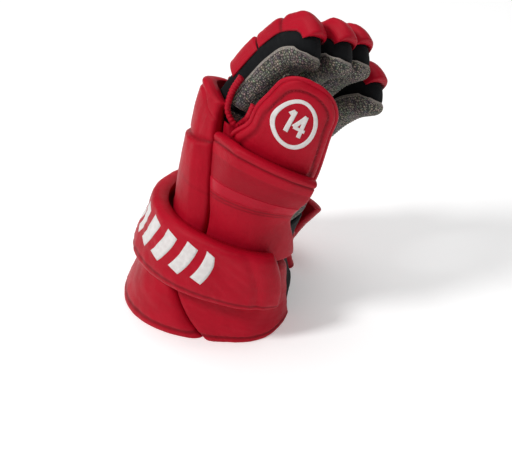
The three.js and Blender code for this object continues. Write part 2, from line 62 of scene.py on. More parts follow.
# Exponents of the superellipses: 2 gives an ellipse, and more is squarer
BACK_SQUARE = 2.3
PALM_SQUARE = 3
KNUCKLE_SQUARE = 5
FINGER_SQUARE = 2.8
THUMB_SQUARE = 2.4
# Degrees that the glove leans each way, and the height up to which its cuff bends
LEAN_PALM = 15
LEAN_LITTLE = 10
LEAN_HEIGHT = 48
LINING_WALL = 2.4
REST = 1.2  # gap under a pad
FINGER_REST = 2.1
CUT_GAP = 0.4
ORIGIN = np.array([22.69, 7.41, 0.0])  # this place under the standing glove is the frame's origin

# Padding
GAUNTLET_THICK = 10
GAUNTLET_TOP = 68
ROLL_THICK = 17
ROLL_FOOT = 36
ROLL_TOP = 92
ROLL_FLARE = 9
ROLL_END = 134
BACKHAND_THICK = 16
BACKHAND_FOOT = 80
WRIST_PAD_THICK = 14
WRIST_PAD_FOOT = 78
WRIST_PAD_TOP = 181
WRIST_PAD_CLIMB = 5
PALM_THICK = 2
PALM_FOOT = 103
CUFF_PALM_THICK = 2.6
CUFF_PALM_TOP = 99
PAD_EDGE = 7
SHEET_EDGE = 3
SLIT = 1.2  # in degrees round the hand bag, as are the other ends and starts
SLIT_FOOT = 84
SLIT_TOP = 28
GAUNTLET_END = {"thumb": 161, "little": 150}
PALM_START = GAUNTLET_END["thumb"] + SLIT
PALM_END = 360 - GAUNTLET_END["little"] - SLIT
SQUARE_RISE = 0.8  # share of its thickness that a square foot has at its very edge
EDGE_SQUARE = 2.4

# Fingers
FINGER_PITCH = 30
INDEX_OFF = -1.5 * FINGER_PITCH  # place of the index finger along the line of the knuckles
FINGER_DEPTH = 34
FINGER_WIDTH = 26.6
FINGER_TIP_WIDTH = 25.6
FINGER_TIP_DEPTH = 33
FINGER_YAW = 42
SLEEVE_WALL = 1.8
FINGER_PAD_THICK = 10
TIP_PAD_THICK = 9
STRIP_THICK = 1.6
STRIP_FOOT = 8
STRIP_ROLL = 0.5
STRIP_TURNS = (142, 259)  # degrees round a finger from the middle of its back
FINGER_PAD_FOOT = 26
TIP_PAD_ROLL = 0.6
BACK_TURN = 62
KNUCKLE_GAP = 1
BEND_SPAN = 26

# Thumb
THUMB_ROOT = (6, -46, 118)
THUMB_TILT = 14
THUMB_YAW = 82
THUMB_BEND = -5
THUMB_JOINTS = (0.4, 0.7)
THUMB_DRIFT = 0.08
THUMB_LENGTH = 136
THUMB_WIDTH = 46
THUMB_WIDTHS = (1, 1.3, 1.4, 1.2, 1, 1)  # shares of THUMB_WIDTH at even steps from root to tip
THUMB_DEPTH = 26
THUMB_PAD_WIDTH = 73
THUMB_PAD_CURVE = 56
THUMB_PAD_FOOT = 66
THUMB_PAD_TOP = 162
THUMB_PAD_THICK = 11
THUMB_PAD_FLAT = 0.16
THUMB_PAD_SPREAD = 10
THUMB_PAD_SPREAD_TOP = 0.32
THUMB_PALM_FOOT = 84
THUMB_PALM_ROLL = 0.4
THUMB_PALM_TURN = 62
BINDING_RADIUS = 2.6
BINDING_LIFT = 7

WELD = 0.004  # points nearer than this are one vertex
UP = np.array([0.0, 0.0, 1.0])


def ease(t):
    """Smooth step from 0 to 1."""
    t = np.clip(t, 0.0, 1.0)
    return t * t * (3 - 2 * t)


def mix(a, b, t):
    """The value a share t of the way from a to b."""
    return a + (b - a) * t


def unit(vectors):
    """Each vector divided by its length."""
    return vectors / np.linalg.norm(vectors, axis=-1, keepdims=True)


def same_shape(*values):
    """The values as arrays of floats, stretched to one shape."""
    return np.broadcast_arrays(*(np.asarray(value, float) for value in values))


def superellipse(c, s, square):
    """Distance from its middle to a superellipse of half size 1, given a direction's cosine and sine."""
    return (np.abs(c) ** square + np.abs(s) ** square) ** (-1 / square)


def run_along(path):
    """Distance along a path to each of its points."""
    return np.concatenate([[0], np.cumsum(np.linalg.norm(np.diff(path, axis=0), axis=1))])


def heading(path):
    """Direction of a path at each of its points: the sum of the steps before and after it."""
    steps = np.diff(path, axis=0)
    return unit(np.concatenate([steps[:1], steps[:-1] + steps[1:], steps[-1:]]))


def on_path(at, along, path):
    """Points of a path at some distances, where along holds the distance to each of its own points."""
    return np.stack([np.interp(at, along, row) for row in path.T], axis=-1)


def sloped(points):
    """The line of the knuckles falls towards the little finger, and the hand with it: each point comes
    down by the slope times its distance along that line, eased in with height."""
    twist = math.radians(KNUCKLE_TWIST)
    fall_way = np.array([math.sin(twist), math.cos(twist), 0.0])
    fall_from = np.array([KNUCKLE_X, KNUCKLE_Y, 0.0]) + INDEX_OFF * fall_way
    share = ease((points[..., 2] - SLOPE_START) / (KNUCKLE_HEIGHT - SLOPE_START))
    fallen = points.copy()
    fallen[..., 2] -= KNUCKLE_SLOPE * share * ((points - fall_from) @ fall_way)
    return fallen


def stand(points):
    """The standing place, in metres: the cuff bends at a steady rate up to LEAN_HEIGHT, and what is
    above leans as one."""
    points = sloped(points)
    lean_x = math.tan(math.radians(LEAN_PALM))
    lean_y = math.tan(math.radians(LEAN_LITTLE))
    whole = math.atan(math.hypot(lean_x, lean_y))
    way = np.array([lean_x, lean_y, 0.0]) / math.hypot(lean_x, lean_y)
    radius = LEAN_HEIGHT / whole
    bent = np.clip(points[..., 2], 0, LEAN_HEIGHT)
    above = points[..., 2] - bent
    angle = whole * bent / LEAN_HEIGHT
    reach = points @ way
    out = reach * np.cos(angle) + radius * (1 - np.cos(angle)) + above * np.sin(angle)
    stood = points + (out - reach)[..., None] * way
    stood[..., 2] = -reach * np.sin(angle) + radius * np.sin(angle) + above * np.cos(angle)
    return (stood - ORIGIN) / 1000


def bag_section(z):
    """Half sizes and squareness of the hand bag at a height: back reach, palm reach, side reach,
    back squareness, palm squareness, and how far it has closed towards the knuckles."""
    opened = np.sin(np.pi / 2 * np.clip(z / WRIST_HEIGHT, 0, 1))
    climb = np.clip((z - WRIST_HEIGHT) / (KNUCKLE_HEIGHT - WRIST_HEIGHT), 0, 1)
    close = 1 - np.cos(np.pi / 2 * climb)
    back = mix(mix(RIM_BACK, WRIST_BACK, opened), KNUCKLE_DEPTH / 2, close)
    palm = mix(mix(RIM_PALM, WRIST_PALM, opened), KNUCKLE_DEPTH / 2, close)
    side = mix(mix(RIM_SIDE, WRIST_SIDE, opened), FINGER_PITCH * 2, close)
    back_square = mix(BACK_SQUARE, KNUCKLE_SQUARE, close**2)
    palm_square = mix(PALM_SQUARE, KNUCKLE_SQUARE, close**2)
    return back, palm, side, back_square, palm_square, close


def twist_at(z):
    """Turn of the hand bag's section, in radians."""
    return math.radians(KNUCKLE_TWIST) * ease((z - TWIST_START) / (KNUCKLE_HEIGHT - TWIST_START))


def shell(turn, z, lift=0.0):
    """A point of the hand bag: a superellipse at height z, reached at the angle turn from the back,
    moved out by lift along its own normal, then turned by the twist."""
    turn, z, lift = same_shape(np.radians(turn), z, lift)
    back, palm, side, back_square, palm_square, close = bag_section(z)
    c, s = np.cos(turn), np.sin(turn)
    reach = np.where(c > 0, back, palm)
    square = np.where(c > 0, back_square, palm_square)
    radius = superellipse(c, s, square)
    nx = -np.sign(c) * np.abs(radius * c) ** (square - 1) / reach
    ny = -np.sign(s) * np.abs(radius * s) ** (square - 1) / side
    size = np.hypot(nx, ny)
    x = -reach * radius * c + nx / size * lift
    y = -side * radius * s + ny / size * lift
    twist = twist_at(z)
    return np.stack(
        [
            x * np.cos(twist) + y * np.sin(twist) + KNUCKLE_X * close,
            -x * np.sin(twist) + y * np.cos(twist) + KNUCKLE_Y * close,
            z,
        ],
        axis=-1,
    )


def bag_depth(points):
    """How far points are outside the hand bag, in millimetres, less than 0 inside: the superellipse's
    own measure less 1, times its mean half size."""
    back, palm, side, back_square, palm_square, close = bag_section(points[..., 2])
    twist = twist_at(points[..., 2])
    px = points[..., 0] - KNUCKLE_X * close
    py = points[..., 1] - KNUCKLE_Y * close
    x = px * np.cos(twist) - py * np.sin(twist)
    y = px * np.sin(twist) + py * np.cos(twist)
    reach = np.where(x < 0, back, palm)
    square = np.where(x < 0, back_square, palm_square)
    measure = (np.abs(x / reach) ** square + np.abs(y / side) ** square) ** (1 / square)
    return (measure - 1) * (reach + side) / 2


class Digit:
    """A finger or the thumb: a centre line that turns at two joints, and a superellipse round it."""

    def __init__(self, root, tilt, first, second, length, joints, yaw, drift, width, depth, square):
        self.length = length
        self.tilt = tilt
        self.first = first
        self.second = second
        self.joints = joints
        self.width = width
        self.depth = depth
        self.square = square
        angle = math.radians(yaw)
        self.bend = np.array([math.cos(angle), -math.sin(angle), 0.0])
        self.side = np.array([math.sin(angle), math.cos(angle), 0.0])
        turn = self.turn(np.arange(length + 1) + 0.5)[:, None]
        steps = self.bend * np.sin(turn) + self.side * drift + UP * np.cos(turn)
        self.line = np.vstack([root, root + np.cumsum(steps, axis=0)])

    def turn(self, s):
        """Tilt of the centre line in radians at a distance along it: each joint eases in."""
        first = self.first * ease((s - self.joints[0] * self.length) / BEND_SPAN + 0.5)
        second = self.second * ease((s - self.joints[1] * self.length) / BEND_SPAN + 0.5)
        return np.radians(self.tilt + first + second)

    def centre(self, s):
        """Point of the centre line at a distance along it; its own points are 1 mm apart."""
        return on_path(s, np.arange(len(self.line)), self.line)

    def frame(self, s):
        """Directions to the back of the digit and ahead along it; the section is level at the root."""
        turn = (self.turn(s) * ease(s / BEND_SPAN))[..., None]
        back = -self.bend * np.cos(turn) + UP * np.sin(turn)
        ahead = self.bend * np.sin(turn) + UP * np.cos(turn)
        return back, ahead

    def point(self, s, around, lift=0.0, spread=None):
        """A point round the digit: a superellipse of its width and depth, at an angle from its back;
        past the end of the centre line it rolls over the tip."""
        spread = lift if spread is None else spread
        s, around, lift, spread = same_shape(s, around, lift, spread)
        along = np.clip(s, 0, self.length)
        depth = self.depth(along / self.length) / 2 + lift
        width = self.width(along / self.length) / 2 + spread
        back, ahead = self.frame(along)
        over = np.maximum(0, s - self.length) / (self.depth(1.0) / 2)
        c, sn = np.cos(np.radians(around)), np.sin(np.radians(around))
        radius = superellipse(c, sn, self.square)
        return (
            self.centre(along)
            + back * (depth * radius * c * np.cos(over))[..., None]
            + ahead * (depth * radius * np.abs(c) * np.sin(over))[..., None]
            + self.side * (width * radius * sn)[..., None]
        )


FINGERS = [
    {"name": "index", "tilt": 27, "first": 9, "second": 28, "length": 112, "joints": (0.6, 0.86)},
    {"name": "middle", "tilt": 26, "first": 12, "second": 20, "length": 121, "joints": (0.53, 0.82)},
    {"name": "ring", "tilt": 22, "first": 12, "second": 18, "length": 117, "joints": (0.52, 0.8)},
    {"name": "little", "tilt": 31, "first": 10, "second": 16, "length": 95, "joints": (0.5, 0.78)},
]


def finger(row, number):
    """The digit of one row, with its root on the line of the knuckles."""
    off = INDEX_OFF + number * FINGER_PITCH
    twist = math.radians(KNUCKLE_TWIST)
    root = np.array([KNUCKLE_X, KNUCKLE_Y, KNUCKLE_HEIGHT + CUT_GAP])
    root += off * np.array([math.sin(twist), math.cos(twist), 0.0])
    facts = {key: value for key, value in row.items() if key != "name"}
    return Digit(
        root,
        yaw=FINGER_YAW,
        drift=0,
        width=lambda share: mix(FINGER_WIDTH, FINGER_TIP_WIDTH, share),
        depth=lambda share: mix(FINGER_DEPTH, FINGER_TIP_DEPTH, share),
        square=FINGER_SQUARE,
        **facts,
    )


def thumb_width(share):
    """Widths of the table, joined by smooth steps."""
    at = np.asarray(share, float) * (len(THUMB_WIDTHS) - 1)
    low = np.minimum(np.floor(at).astype(int), len(THUMB_WIDTHS) - 2)
    table = np.array(THUMB_WIDTHS)
    return THUMB_WIDTH * mix(table[low], table[low + 1], ease(at - low))


fingers = {row["name"]: finger(row, i) for i, row in enumerate(FINGERS)}
thumb = Digit(
    np.array(THUMB_ROOT, float),
    tilt=THUMB_TILT,
    first=0,
    second=THUMB_BEND,
    length=THUMB_LENGTH,
    joints=THUMB_JOINTS,
    yaw=THUMB_YAW,
    drift=THUMB_DRIFT,
    width=thumb_width,
    depth=lambda share: THUMB_DEPTH + 0 * share,
    square=THUMB_SQUARE,
)


def thumb_face(across, along, lift):
    """A point of the face on which the thumb's pad lies: a cylinder of THUMB_PAD_CURVE round a line
    behind the thumb."""
    across, along, lift = same_shape(across, along, lift)
    angle = across / THUMB_PAD_CURVE
    back, ahead = thumb.frame(along)
    out = THUMB_DEPTH / 2 + REST - THUMB_PAD_CURVE * (1 - np.cos(angle)) + lift * np.cos(angle)
    return (
        thumb.centre(np.minimum(along, THUMB_LENGTH))
        + ahead * np.maximum(0, along - THUMB_LENGTH)[..., None]
        - back * out[..., None]
        + thumb.side * ((THUMB_PAD_CURVE + lift) * np.sin(angle))[..., None]
    )


def on_shell(foot, top, start, end, flare=0, fall=0):
    """A patch of the hand bag between two lines, each from a turn at its foot to a turn at its top."""

    def base(u, v, lift):
        turn = mix(mix(start[0], start[1], v), mix(end[0], end[1], v), u)
        return shell(turn, mix(foot, top - fall * u, v), lift + flare * v)

    return base


def on_digit(digit, start, end, turns, spread=None):
    """A patch of a digit between two distances along it and two turns round it."""

    def base(u, v, lift):
        return digit.point(mix(start, end, v), mix(turns[0], turns[1], u), lift, spread)

    return base


# The cover of the thumb's pad is a little narrower and lower than its solid, as the real one is
PAD_PIPING = 2.2
PAD_TAPER = 7
PAD_TOP = THUMB_PAD_TOP - 6
CROTCH_TAPER_START = 0.42  # shares of the pad's height
CROTCH_TAPER_SPAN = 0.36
PALM_TAPER_SPAN = 0.7


def tongue_half(u, v):
    """Half width of the thumb's pad without its piping. It tapers upwards, later on the crotch's
    side."""
    crotch_taper = ease((v - CROTCH_TAPER_START) / CROTCH_TAPER_SPAN)
    taper = np.where(u < 0.5, crotch_taper, ease(v / PALM_TAPER_SPAN))
    return THUMB_PAD_WIDTH / 2 - PAD_PIPING - PAD_TAPER * taper


def tongue(u, v, lift):
    """The thumb's pad: straight sides below, a half round above, wider at its foot towards the back."""
    half = tongue_half(u, v)
    end = (THUMB_PAD_WIDTH / 2 - PAD_PIPING - PAD_TAPER) / (PAD_TOP - THUMB_PAD_FOOT)
    past = np.maximum(0, (v - 1 + end) / end)
    side = 2 * u - 1
    spread = np.where(side < 0, THUMB_PAD_SPREAD * ease(1 - v / THUMB_PAD_SPREAD_TOP), 0)
    width = spread + half * np.sqrt(1 - (1 - THUMB_PAD_FLAT**2) * past * past)
    return thumb_face(side * width, mix(THUMB_PAD_FOOT, PAD_TOP, v), lift)


# The blocks on the back of the hand: degrees round the hand bag at their foot and at their top
BACKHAND = [
    {"name": "backhand_thumb", "start": (26, 33), "end": (74, 124), "top": 215, "fall": 13},
    {"name": "backhand_centre", "start": (-24, -29), "end": (24, 31), "top": 218, "fall": 0},
    {"name": "backhand_little", "start": (-80, -102), "end": (-26, -31), "top": 218, "fall": 0},
]
WRIST_PAD_END = 160
WRIST_PAD_ACROSS = (-44, 28)
WRIST_PAD_PASS = (0.13, 0.8)  # shares of its height between which it passes in front of the thumb
WRIST_PAD_SIDE = 0.25
WRIST_PAD_DROP = 4  # how far its corner at the crotch comes down, over a share of its width
WRIST_PAD_CORNER = 0.2


def wrist_flap(u, v, lift):
    """The wrist pad: on the hand bag at its foot, and in front of the thumb's pad at its top."""
    corner = WRIST_PAD_DROP * (1 - ease(u / WRIST_PAD_CORNER))
    height = mix(WRIST_PAD_FOOT, WRIST_PAD_TOP + WRIST_PAD_CLIMB * u - corner, v)
    block = BACKHAND[0]
    climbed = (height - BACKHAND_FOOT) / (block["top"] - block["fall"] - BACKHAND_FOOT)
    start = mix(block["end"][0], block["end"][1], climbed) + SLIT
    low = shell(mix(start, WRIST_PAD_END, u), height, PALM_THICK + REST + lift)
    along = (height - THUMB_ROOT[2]) / math.cos(math.radians(THUMB_TILT))
    high = thumb_face(mix(*WRIST_PAD_ACROSS, u), along, THUMB_PAD_THICK + 2 * REST + lift)
    passed = (v - WRIST_PAD_PASS[0]) / (WRIST_PAD_PASS[1] - WRIST_PAD_PASS[0])
    point = mix(low, high, (ease(passed) * ease(u / WRIST_PAD_SIDE))[..., None])
    point[..., 2] = height
    return point


# Surface detail
FOLD_WAVES = 5
FOLD_BEND = 0.9  # how far each wave bends the next, in radians
FOLD_SHORTER = 0.58
FOLD_LOWER = 0.62


def folds(x, y, seed, length):
    """Soft creases from -1 to 1: sine waves of falling length, each in its own direction and bent by
    those before it."""
    draw = np.random.default_rng(seed)
    height, bend, size, total = 0.0, 0.0, 1.0, 0.0
    for _ in range(FOLD_WAVES):
        angle, phase = draw.uniform(0, math.tau, 2)
        wave = np.sin(math.tau * (x * math.cos(angle) + y * math.sin(angle)) / length + phase + bend)
        height = height + size * wave
        total += size
        bend = bend + FOLD_BEND * wave
        length = FOLD_SHORTER * length
        size = FOLD_LOWER * size
    return height / total


def groove(distance, width):
    """A rounded furrow, 1 at its middle: a bell curve of the distance from it."""
    return np.exp(-((distance / width) ** 2))


# Making meshes
MOST_EDGE = 0.45  # an edge takes less than half of its pad
EDGE_ROWS = 9
PRINT_LIFT = 0.22
PRINT_COLUMNS = 5
CORD_SIDES = 14
STITCH_PITCH = 3.4
STITCH_LENGTH = 2.4
THREAD_RADIUS = 0.34
THREAD_SIDES = 6
THREAD_LIFT = 0.12


def inside_out(points, quads, triangles):
    """Whether a closed mesh faces inwards: its volume, summed over its faces, is below 0."""
    a, b, c = (points[triangles[:, k]] for k in range(3))
    volume = np.einsum("ij,ij->", a, np.cross(b, c))
    a, b, c, d = (points[quads[:, k]] for k in range(4))
    volume += np.einsum("ij,ij->", a, np.cross(b, c)) + np.einsum("ij,ij->", a, np.cross(c, d))
    return volume < 0


def make_piece(name, grids, material, nodes=()):
    """One closed mesh from grids of points. Each grid is (points, map, shade, turned). Points that
    share a place are one vertex, and a face that loses a corner so is a triangle."""
    points, maps, shades, faces = [], [], [], []
    count = 0
    for grid, flat, shade, turned in grids:
        rows, columns = grid.shape[:2]
        index = count + np.arange(rows * columns).reshape(rows, columns)
        corners = [index[:-1, :-1], index[1:, :-1], index[1:, 1:], index[:-1, 1:]]
        cell = np.stack(corners, axis=-1).reshape(-1, 4)
        faces.append(cell[:, ::-1] if turned else cell)
        points.append(grid.reshape(-1, 3))
        maps.append(flat.reshape(-1, 2))
        shades.append(np.broadcast_to(shade, (rows, columns)).reshape(-1))
        count += rows * columns
    points, maps, shades, faces = map(np.concatenate, (points, maps, shades, faces))
    places = np.round(points / WELD).astype(np.int64)
    _, first, place = np.unique(places, axis=0, return_index=True, return_inverse=True)
    welded = place.reshape(-1)[faces]
    lost = welded == np.roll(welded, -1, axis=1)
    left = 4 - lost.sum(axis=1)
    crossed = (welded[:, 0] == welded[:, 2]) | (welded[:, 1] == welded[:, 3])
    four = (left == 4) & ~crossed
    three = (left == 3) & ~crossed
    kept = points[first]
    quads = welded[four]
    triangles = welded[three][~lost[three]].reshape(-1, 3)
    quad_maps = maps[faces[four]]
    triangle_maps = maps[faces[three]][~lost[three]].reshape(-1, 3, 2)
    if inside_out(kept, quads, triangles):
        quads, triangles = quads[:, ::-1], triangles[:, ::-1]
        quad_maps, triangle_maps = quad_maps[:, ::-1], triangle_maps[:, ::-1]
    mesh = bpy.data.meshes.new(name)
    mesh.from_pydata(stand(kept).tolist(), [], quads.tolist() + triangles.tolist())
    layer = mesh.uv_layers.new(name="cloth")
    flat = np.concatenate([quad_maps.reshape(-1, 2), triangle_maps.reshape(-1, 2)]) / 1000
    layer.data.foreach_set("uv", flat.astype(np.float32).ravel())
    shade = mesh.attributes.new("shade", "FLOAT", "POINT")
    shade.data.foreach_set("value", shades[first].astype(np.float32))
    mesh.polygons.foreach_set("use_smooth", np.ones(len(mesh.polygons), bool))
    mesh.materials.append(material)
    mesh.update()
    piece = bpy.data.objects.new(name, mesh)
    bpy.context.scene.collection.objects.link(piece)
    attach(piece, "root")
    if nodes:
        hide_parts(*nodes)
    return piece


def no_relief(x, y, u, v):
    """A plain surface."""
    return 0.0 * x


class Pad:
    """A pad or sheet: it rises from its outline over a rounded edge, is slightly crowned, and its
    relief is added where it has risen. A relief or shade is given x and y in millimetres on the
    flat pad, and the same place as shares u and v of its width and height."""

    def __init__(
        self,
        base,
        thick,
        rest=REST,
        edge=PAD_EDGE,
        crown=0.1,
        square_foot=False,
        square=EDGE_SQUARE,
        relief=no_relief,
    ):
        self.base = base
        self.thick = thick
        self.rest = rest
        self.crown = crown
        self.square_foot = square_foot
        self.square = square
        self.relief = relief
        even = np.linspace(0, 1, 13)
        middle = np.full_like(even, 0.5)
        self.width = self.path_length(base(even, middle, 0.0))
        self.height = self.path_length(base(middle, even, 0.0))
        self.edge_u = min(edge / self.width, MOST_EDGE)
        self.edge_v = min(edge / self.height, MOST_EDGE)

    @staticmethod
    def path_length(points):
        """Length of the straight steps from point to point."""
        return float(np.linalg.norm(np.diff(points, axis=0), axis=1).sum())

    def rise(self, t, share):
        """Height over the edge, from 0 to 1: a quarter of a superellipse."""
        left = np.clip(1 - t / share, 0, 1)
        return (1 - left**self.square) ** (1 / self.square)

    def risen(self, u, v):
        """Height over all four edges: the product of their rises. A square foot starts part way up."""
        foot = self.rise(v, self.edge_v)
        if self.square_foot:
            foot = SQUARE_RISE + (1 - SQUARE_RISE) * foot
        top = self.rise(1 - v, self.edge_v)
        return self.rise(u, self.edge_u) * self.rise(1 - u, self.edge_u) * foot * top

    def surface(self, u, v, lift=0.0):
        """A point of the outer face, or lifted off it."""
        u, v = same_shape(u, v)
        u, v = np.clip(u, 0, 1), np.clip(v, 0, 1)
        dome = 1 - self.crown * ((2 * u - 1) ** 2 + (2 * v - 1) ** 2)
        relief = self.relief(u * self.width, v * self.height, u, v)
        height = self.risen(u, v) * (self.thick * dome + relief)
        return self.base(u, v, self.rest + height + lift)

    def stations(self, share, length, step):
        """Shares of a side at which the grid has a line: close together over each edge, as a circle's
        height changes, and evenly spaced between."""
        turns = np.radians(np.linspace(0, 90, EDGE_ROWS))
        edge = share * (1 - np.cos(turns))
        count = max(2, int(np.ceil(length * (1 - 2 * share) / step)))
        middle = np.linspace(share, 1 - share, count + 1)[1:-1]
        return np.concatenate([edge, middle, 1 - edge[::-1]])

    def grids(self, step, shade=None):
        """The outer and the inner face as grids for make_piece, which meet along the outline."""
        us = self.stations(self.edge_u, self.width, step)
        vs = self.stations(self.edge_v, self.height, step)
        u, v = np.meshgrid(us, vs, indexing="ij")
        outer = self.surface(u, v)
        inner = self.base(u, v, self.rest)
        flat = np.stack([u * self.width, v * self.height], axis=-1)
        dark = np.zeros_like(u) if shade is None else shade(u * self.width, v * self.height, u, v)
        outer_flat, outer_dark = flat, dark
        if self.square_foot:
            outer = np.concatenate([inner[:, :1], outer], axis=1)
            outer_flat = np.concatenate([flat[:, :1], flat], axis=1)
            outer_dark = np.concatenate([dark[:, :1], dark], axis=1)
        return [(outer, outer_flat, outer_dark, False), (inner, flat, dark * 0, True)]


def print_on(pad, paths, width, lift=PRINT_LIFT):
    """Ribbons printed on a pad: each path is an array of x and y in millimetres on its flat map, and
    the ribbon's section is a thin closed band."""
    grids = []
    for path, closed in paths:
        if closed:
            direction = unit(np.roll(path, -1, axis=0) - np.roll(path, 1, axis=0))
        else:
            direction = heading(path)
        normal = np.stack([-direction[:, 1], direction[:, 0]], axis=-1)
        off = np.linspace(-width / 2, width / 2, PRINT_COLUMNS)
        x = path[:, :1] + normal[:, :1] * off
        y = path[:, 1:] + normal[:, 1:] * off
        top = pad.surface(x / pad.width, y / pad.height, lift)
        low = pad.surface(x / pad.width, y / pad.height, -lift)
        ring = np.concatenate([top, low[:, ::-1], top[:, :1]], axis=1)
        flat = np.stack([x, y], axis=-1)
        flat = np.concatenate([flat, flat[:, ::-1], flat[:, :1]], axis=1)
        if closed:
            ring = np.concatenate([ring, ring[:1]])
            flat = np.concatenate([flat, flat[:1]])
        else:
            caps = [np.broadcast_to(row.mean(axis=0), row.shape)[None] for row in (ring[0], ring[-1])]
            ring = np.concatenate([caps[0], ring, caps[1]])
            flat = np.concatenate([flat[:1], flat, flat[-1:]])
        grids.append((ring, flat, 0.0, False))
    return grids


def tube(path, reference, radius):
    """A round cord along a path: circles square to it, of one radius or of one for each point, closed
    at both ends."""
    radius = np.broadcast_to(radius, len(path))[:, None, None]
    ahead = heading(path)
    first = unit(reference - (reference * ahead).sum(axis=-1, keepdims=True) * ahead)
    second = np.cross(ahead, first)
    turn = np.linspace(0, math.tau, CORD_SIDES + 1)
    ring = path[:, None] + radius * (
        np.cos(turn)[None, :, None] * first[:, None] + np.sin(turn)[None, :, None] * second[:, None]
    )
    caps = [np.repeat(path[end, None, None], CORD_SIDES + 1, axis=1) for end in (0, -1)]
    ring = np.concatenate([caps[0], ring, caps[1]])
    along = run_along(path)
    along = np.concatenate([along[:1], along, along[-1:]])
    flat = np.stack(np.broadcast_arrays(along[:, None], radius.mean() * turn[None, :]), axis=-1)
    return [(ring, flat, 0.0, False)]


def stitches(middle, ahead, out):
    """Short threads: each an ellipsoid with its middle, its direction and the way out of the cloth."""
    ahead = unit(ahead)
    out = unit(out - (out * ahead).sum(axis=-1, keepdims=True) * ahead)
    side = np.cross(ahead, out)
    turn = np.linspace(0, math.tau, THREAD_SIDES + 1)[:, None]
    along = np.linspace(-1, 1, 6)
    girth = THREAD_RADIUS * np.sqrt(1 - along**2)
    circle = np.cos(turn) * out[:, None, None] + np.sin(turn) * side[:, None, None]
    ring = (
        middle[:, None, None]
        + (along * STITCH_LENGTH / 2)[None, :, None, None] * ahead[:, None, None]
        + girth[None, :, None, None] * circle
    )
    flat = np.zeros(ring.shape[1:3] + (2,))
    return [(one, flat, 0.0, False) for one in ring]


def stitch_row(surface, u, v):
    """Threads along a line of a surface, given by dense shares u and v."""
    line = surface(u, v, THREAD_LIFT)
    lifted = surface(u, v, THREAD_LIFT + 1) - line
    along = run_along(line)
    at = np.arange(STITCH_PITCH, along[-1] - STITCH_PITCH, STITCH_PITCH)
    third = STITCH_LENGTH / 3
    ahead = on_path(at + third, along, line) - on_path(at - third, along, line)
    return stitches(on_path(at, along, line), ahead, on_path(at, along, lifted))


# Materials
RGBA = {"data_type": "RGBA"}
CLOUDING = 0.03  # size of the faint clouds in a cloth's colour, in metres
SLACK = 0.016  # size of its loose waves
SLACK_DEPTH = 0.002
GRAIN = 0.0016
MOTTLE = 0.012
CHECK = 0.014
LOOP = 0.0012
WORN = 0.004


def linear(colour):
    """Scene-linear colour of an sRGB hex value."""
    parts = [int(colour[k : k + 2], 16) / 255 for k in (0, 2, 4)]
    return tuple(c / 12.92 if c <= 0.04045 else ((c + 0.055) / 1.055) ** 2.4 for c in parts) + (1.0,)


def node(tree, kind, settings=None, inputs=None):
    """A shader node with its settings, and its inputs set or linked."""
    made = tree.nodes.new("ShaderNode" + kind)
    for key, value in (settings or {}).items():
        setattr(made, key, value)
    for key, value in (inputs or {}).items():
        if isinstance(value, bpy.types.NodeSocket):
            tree.links.new(value, made.inputs[key])
        else:
            made.inputs[key].default_value = value
    return made


def new_material(name, look):
    """A material whose surface is a Principled shader with fixed values."""
    material = bpy.data.materials.new(name)
    material.use_nodes = True
    tree = material.node_tree
    tree.nodes.clear()
    shader = node(tree, "BsdfPrincipled", None, look)
    node(tree, "OutputMaterial", None, {"Surface": shader.outputs[0]})
    return material, tree, shader


def wave_scale(period):
    """Scale that gives Blender's wave bands a period in metres: the wave is sin(20 x scale)."""
    return math.tau / (20 * period)


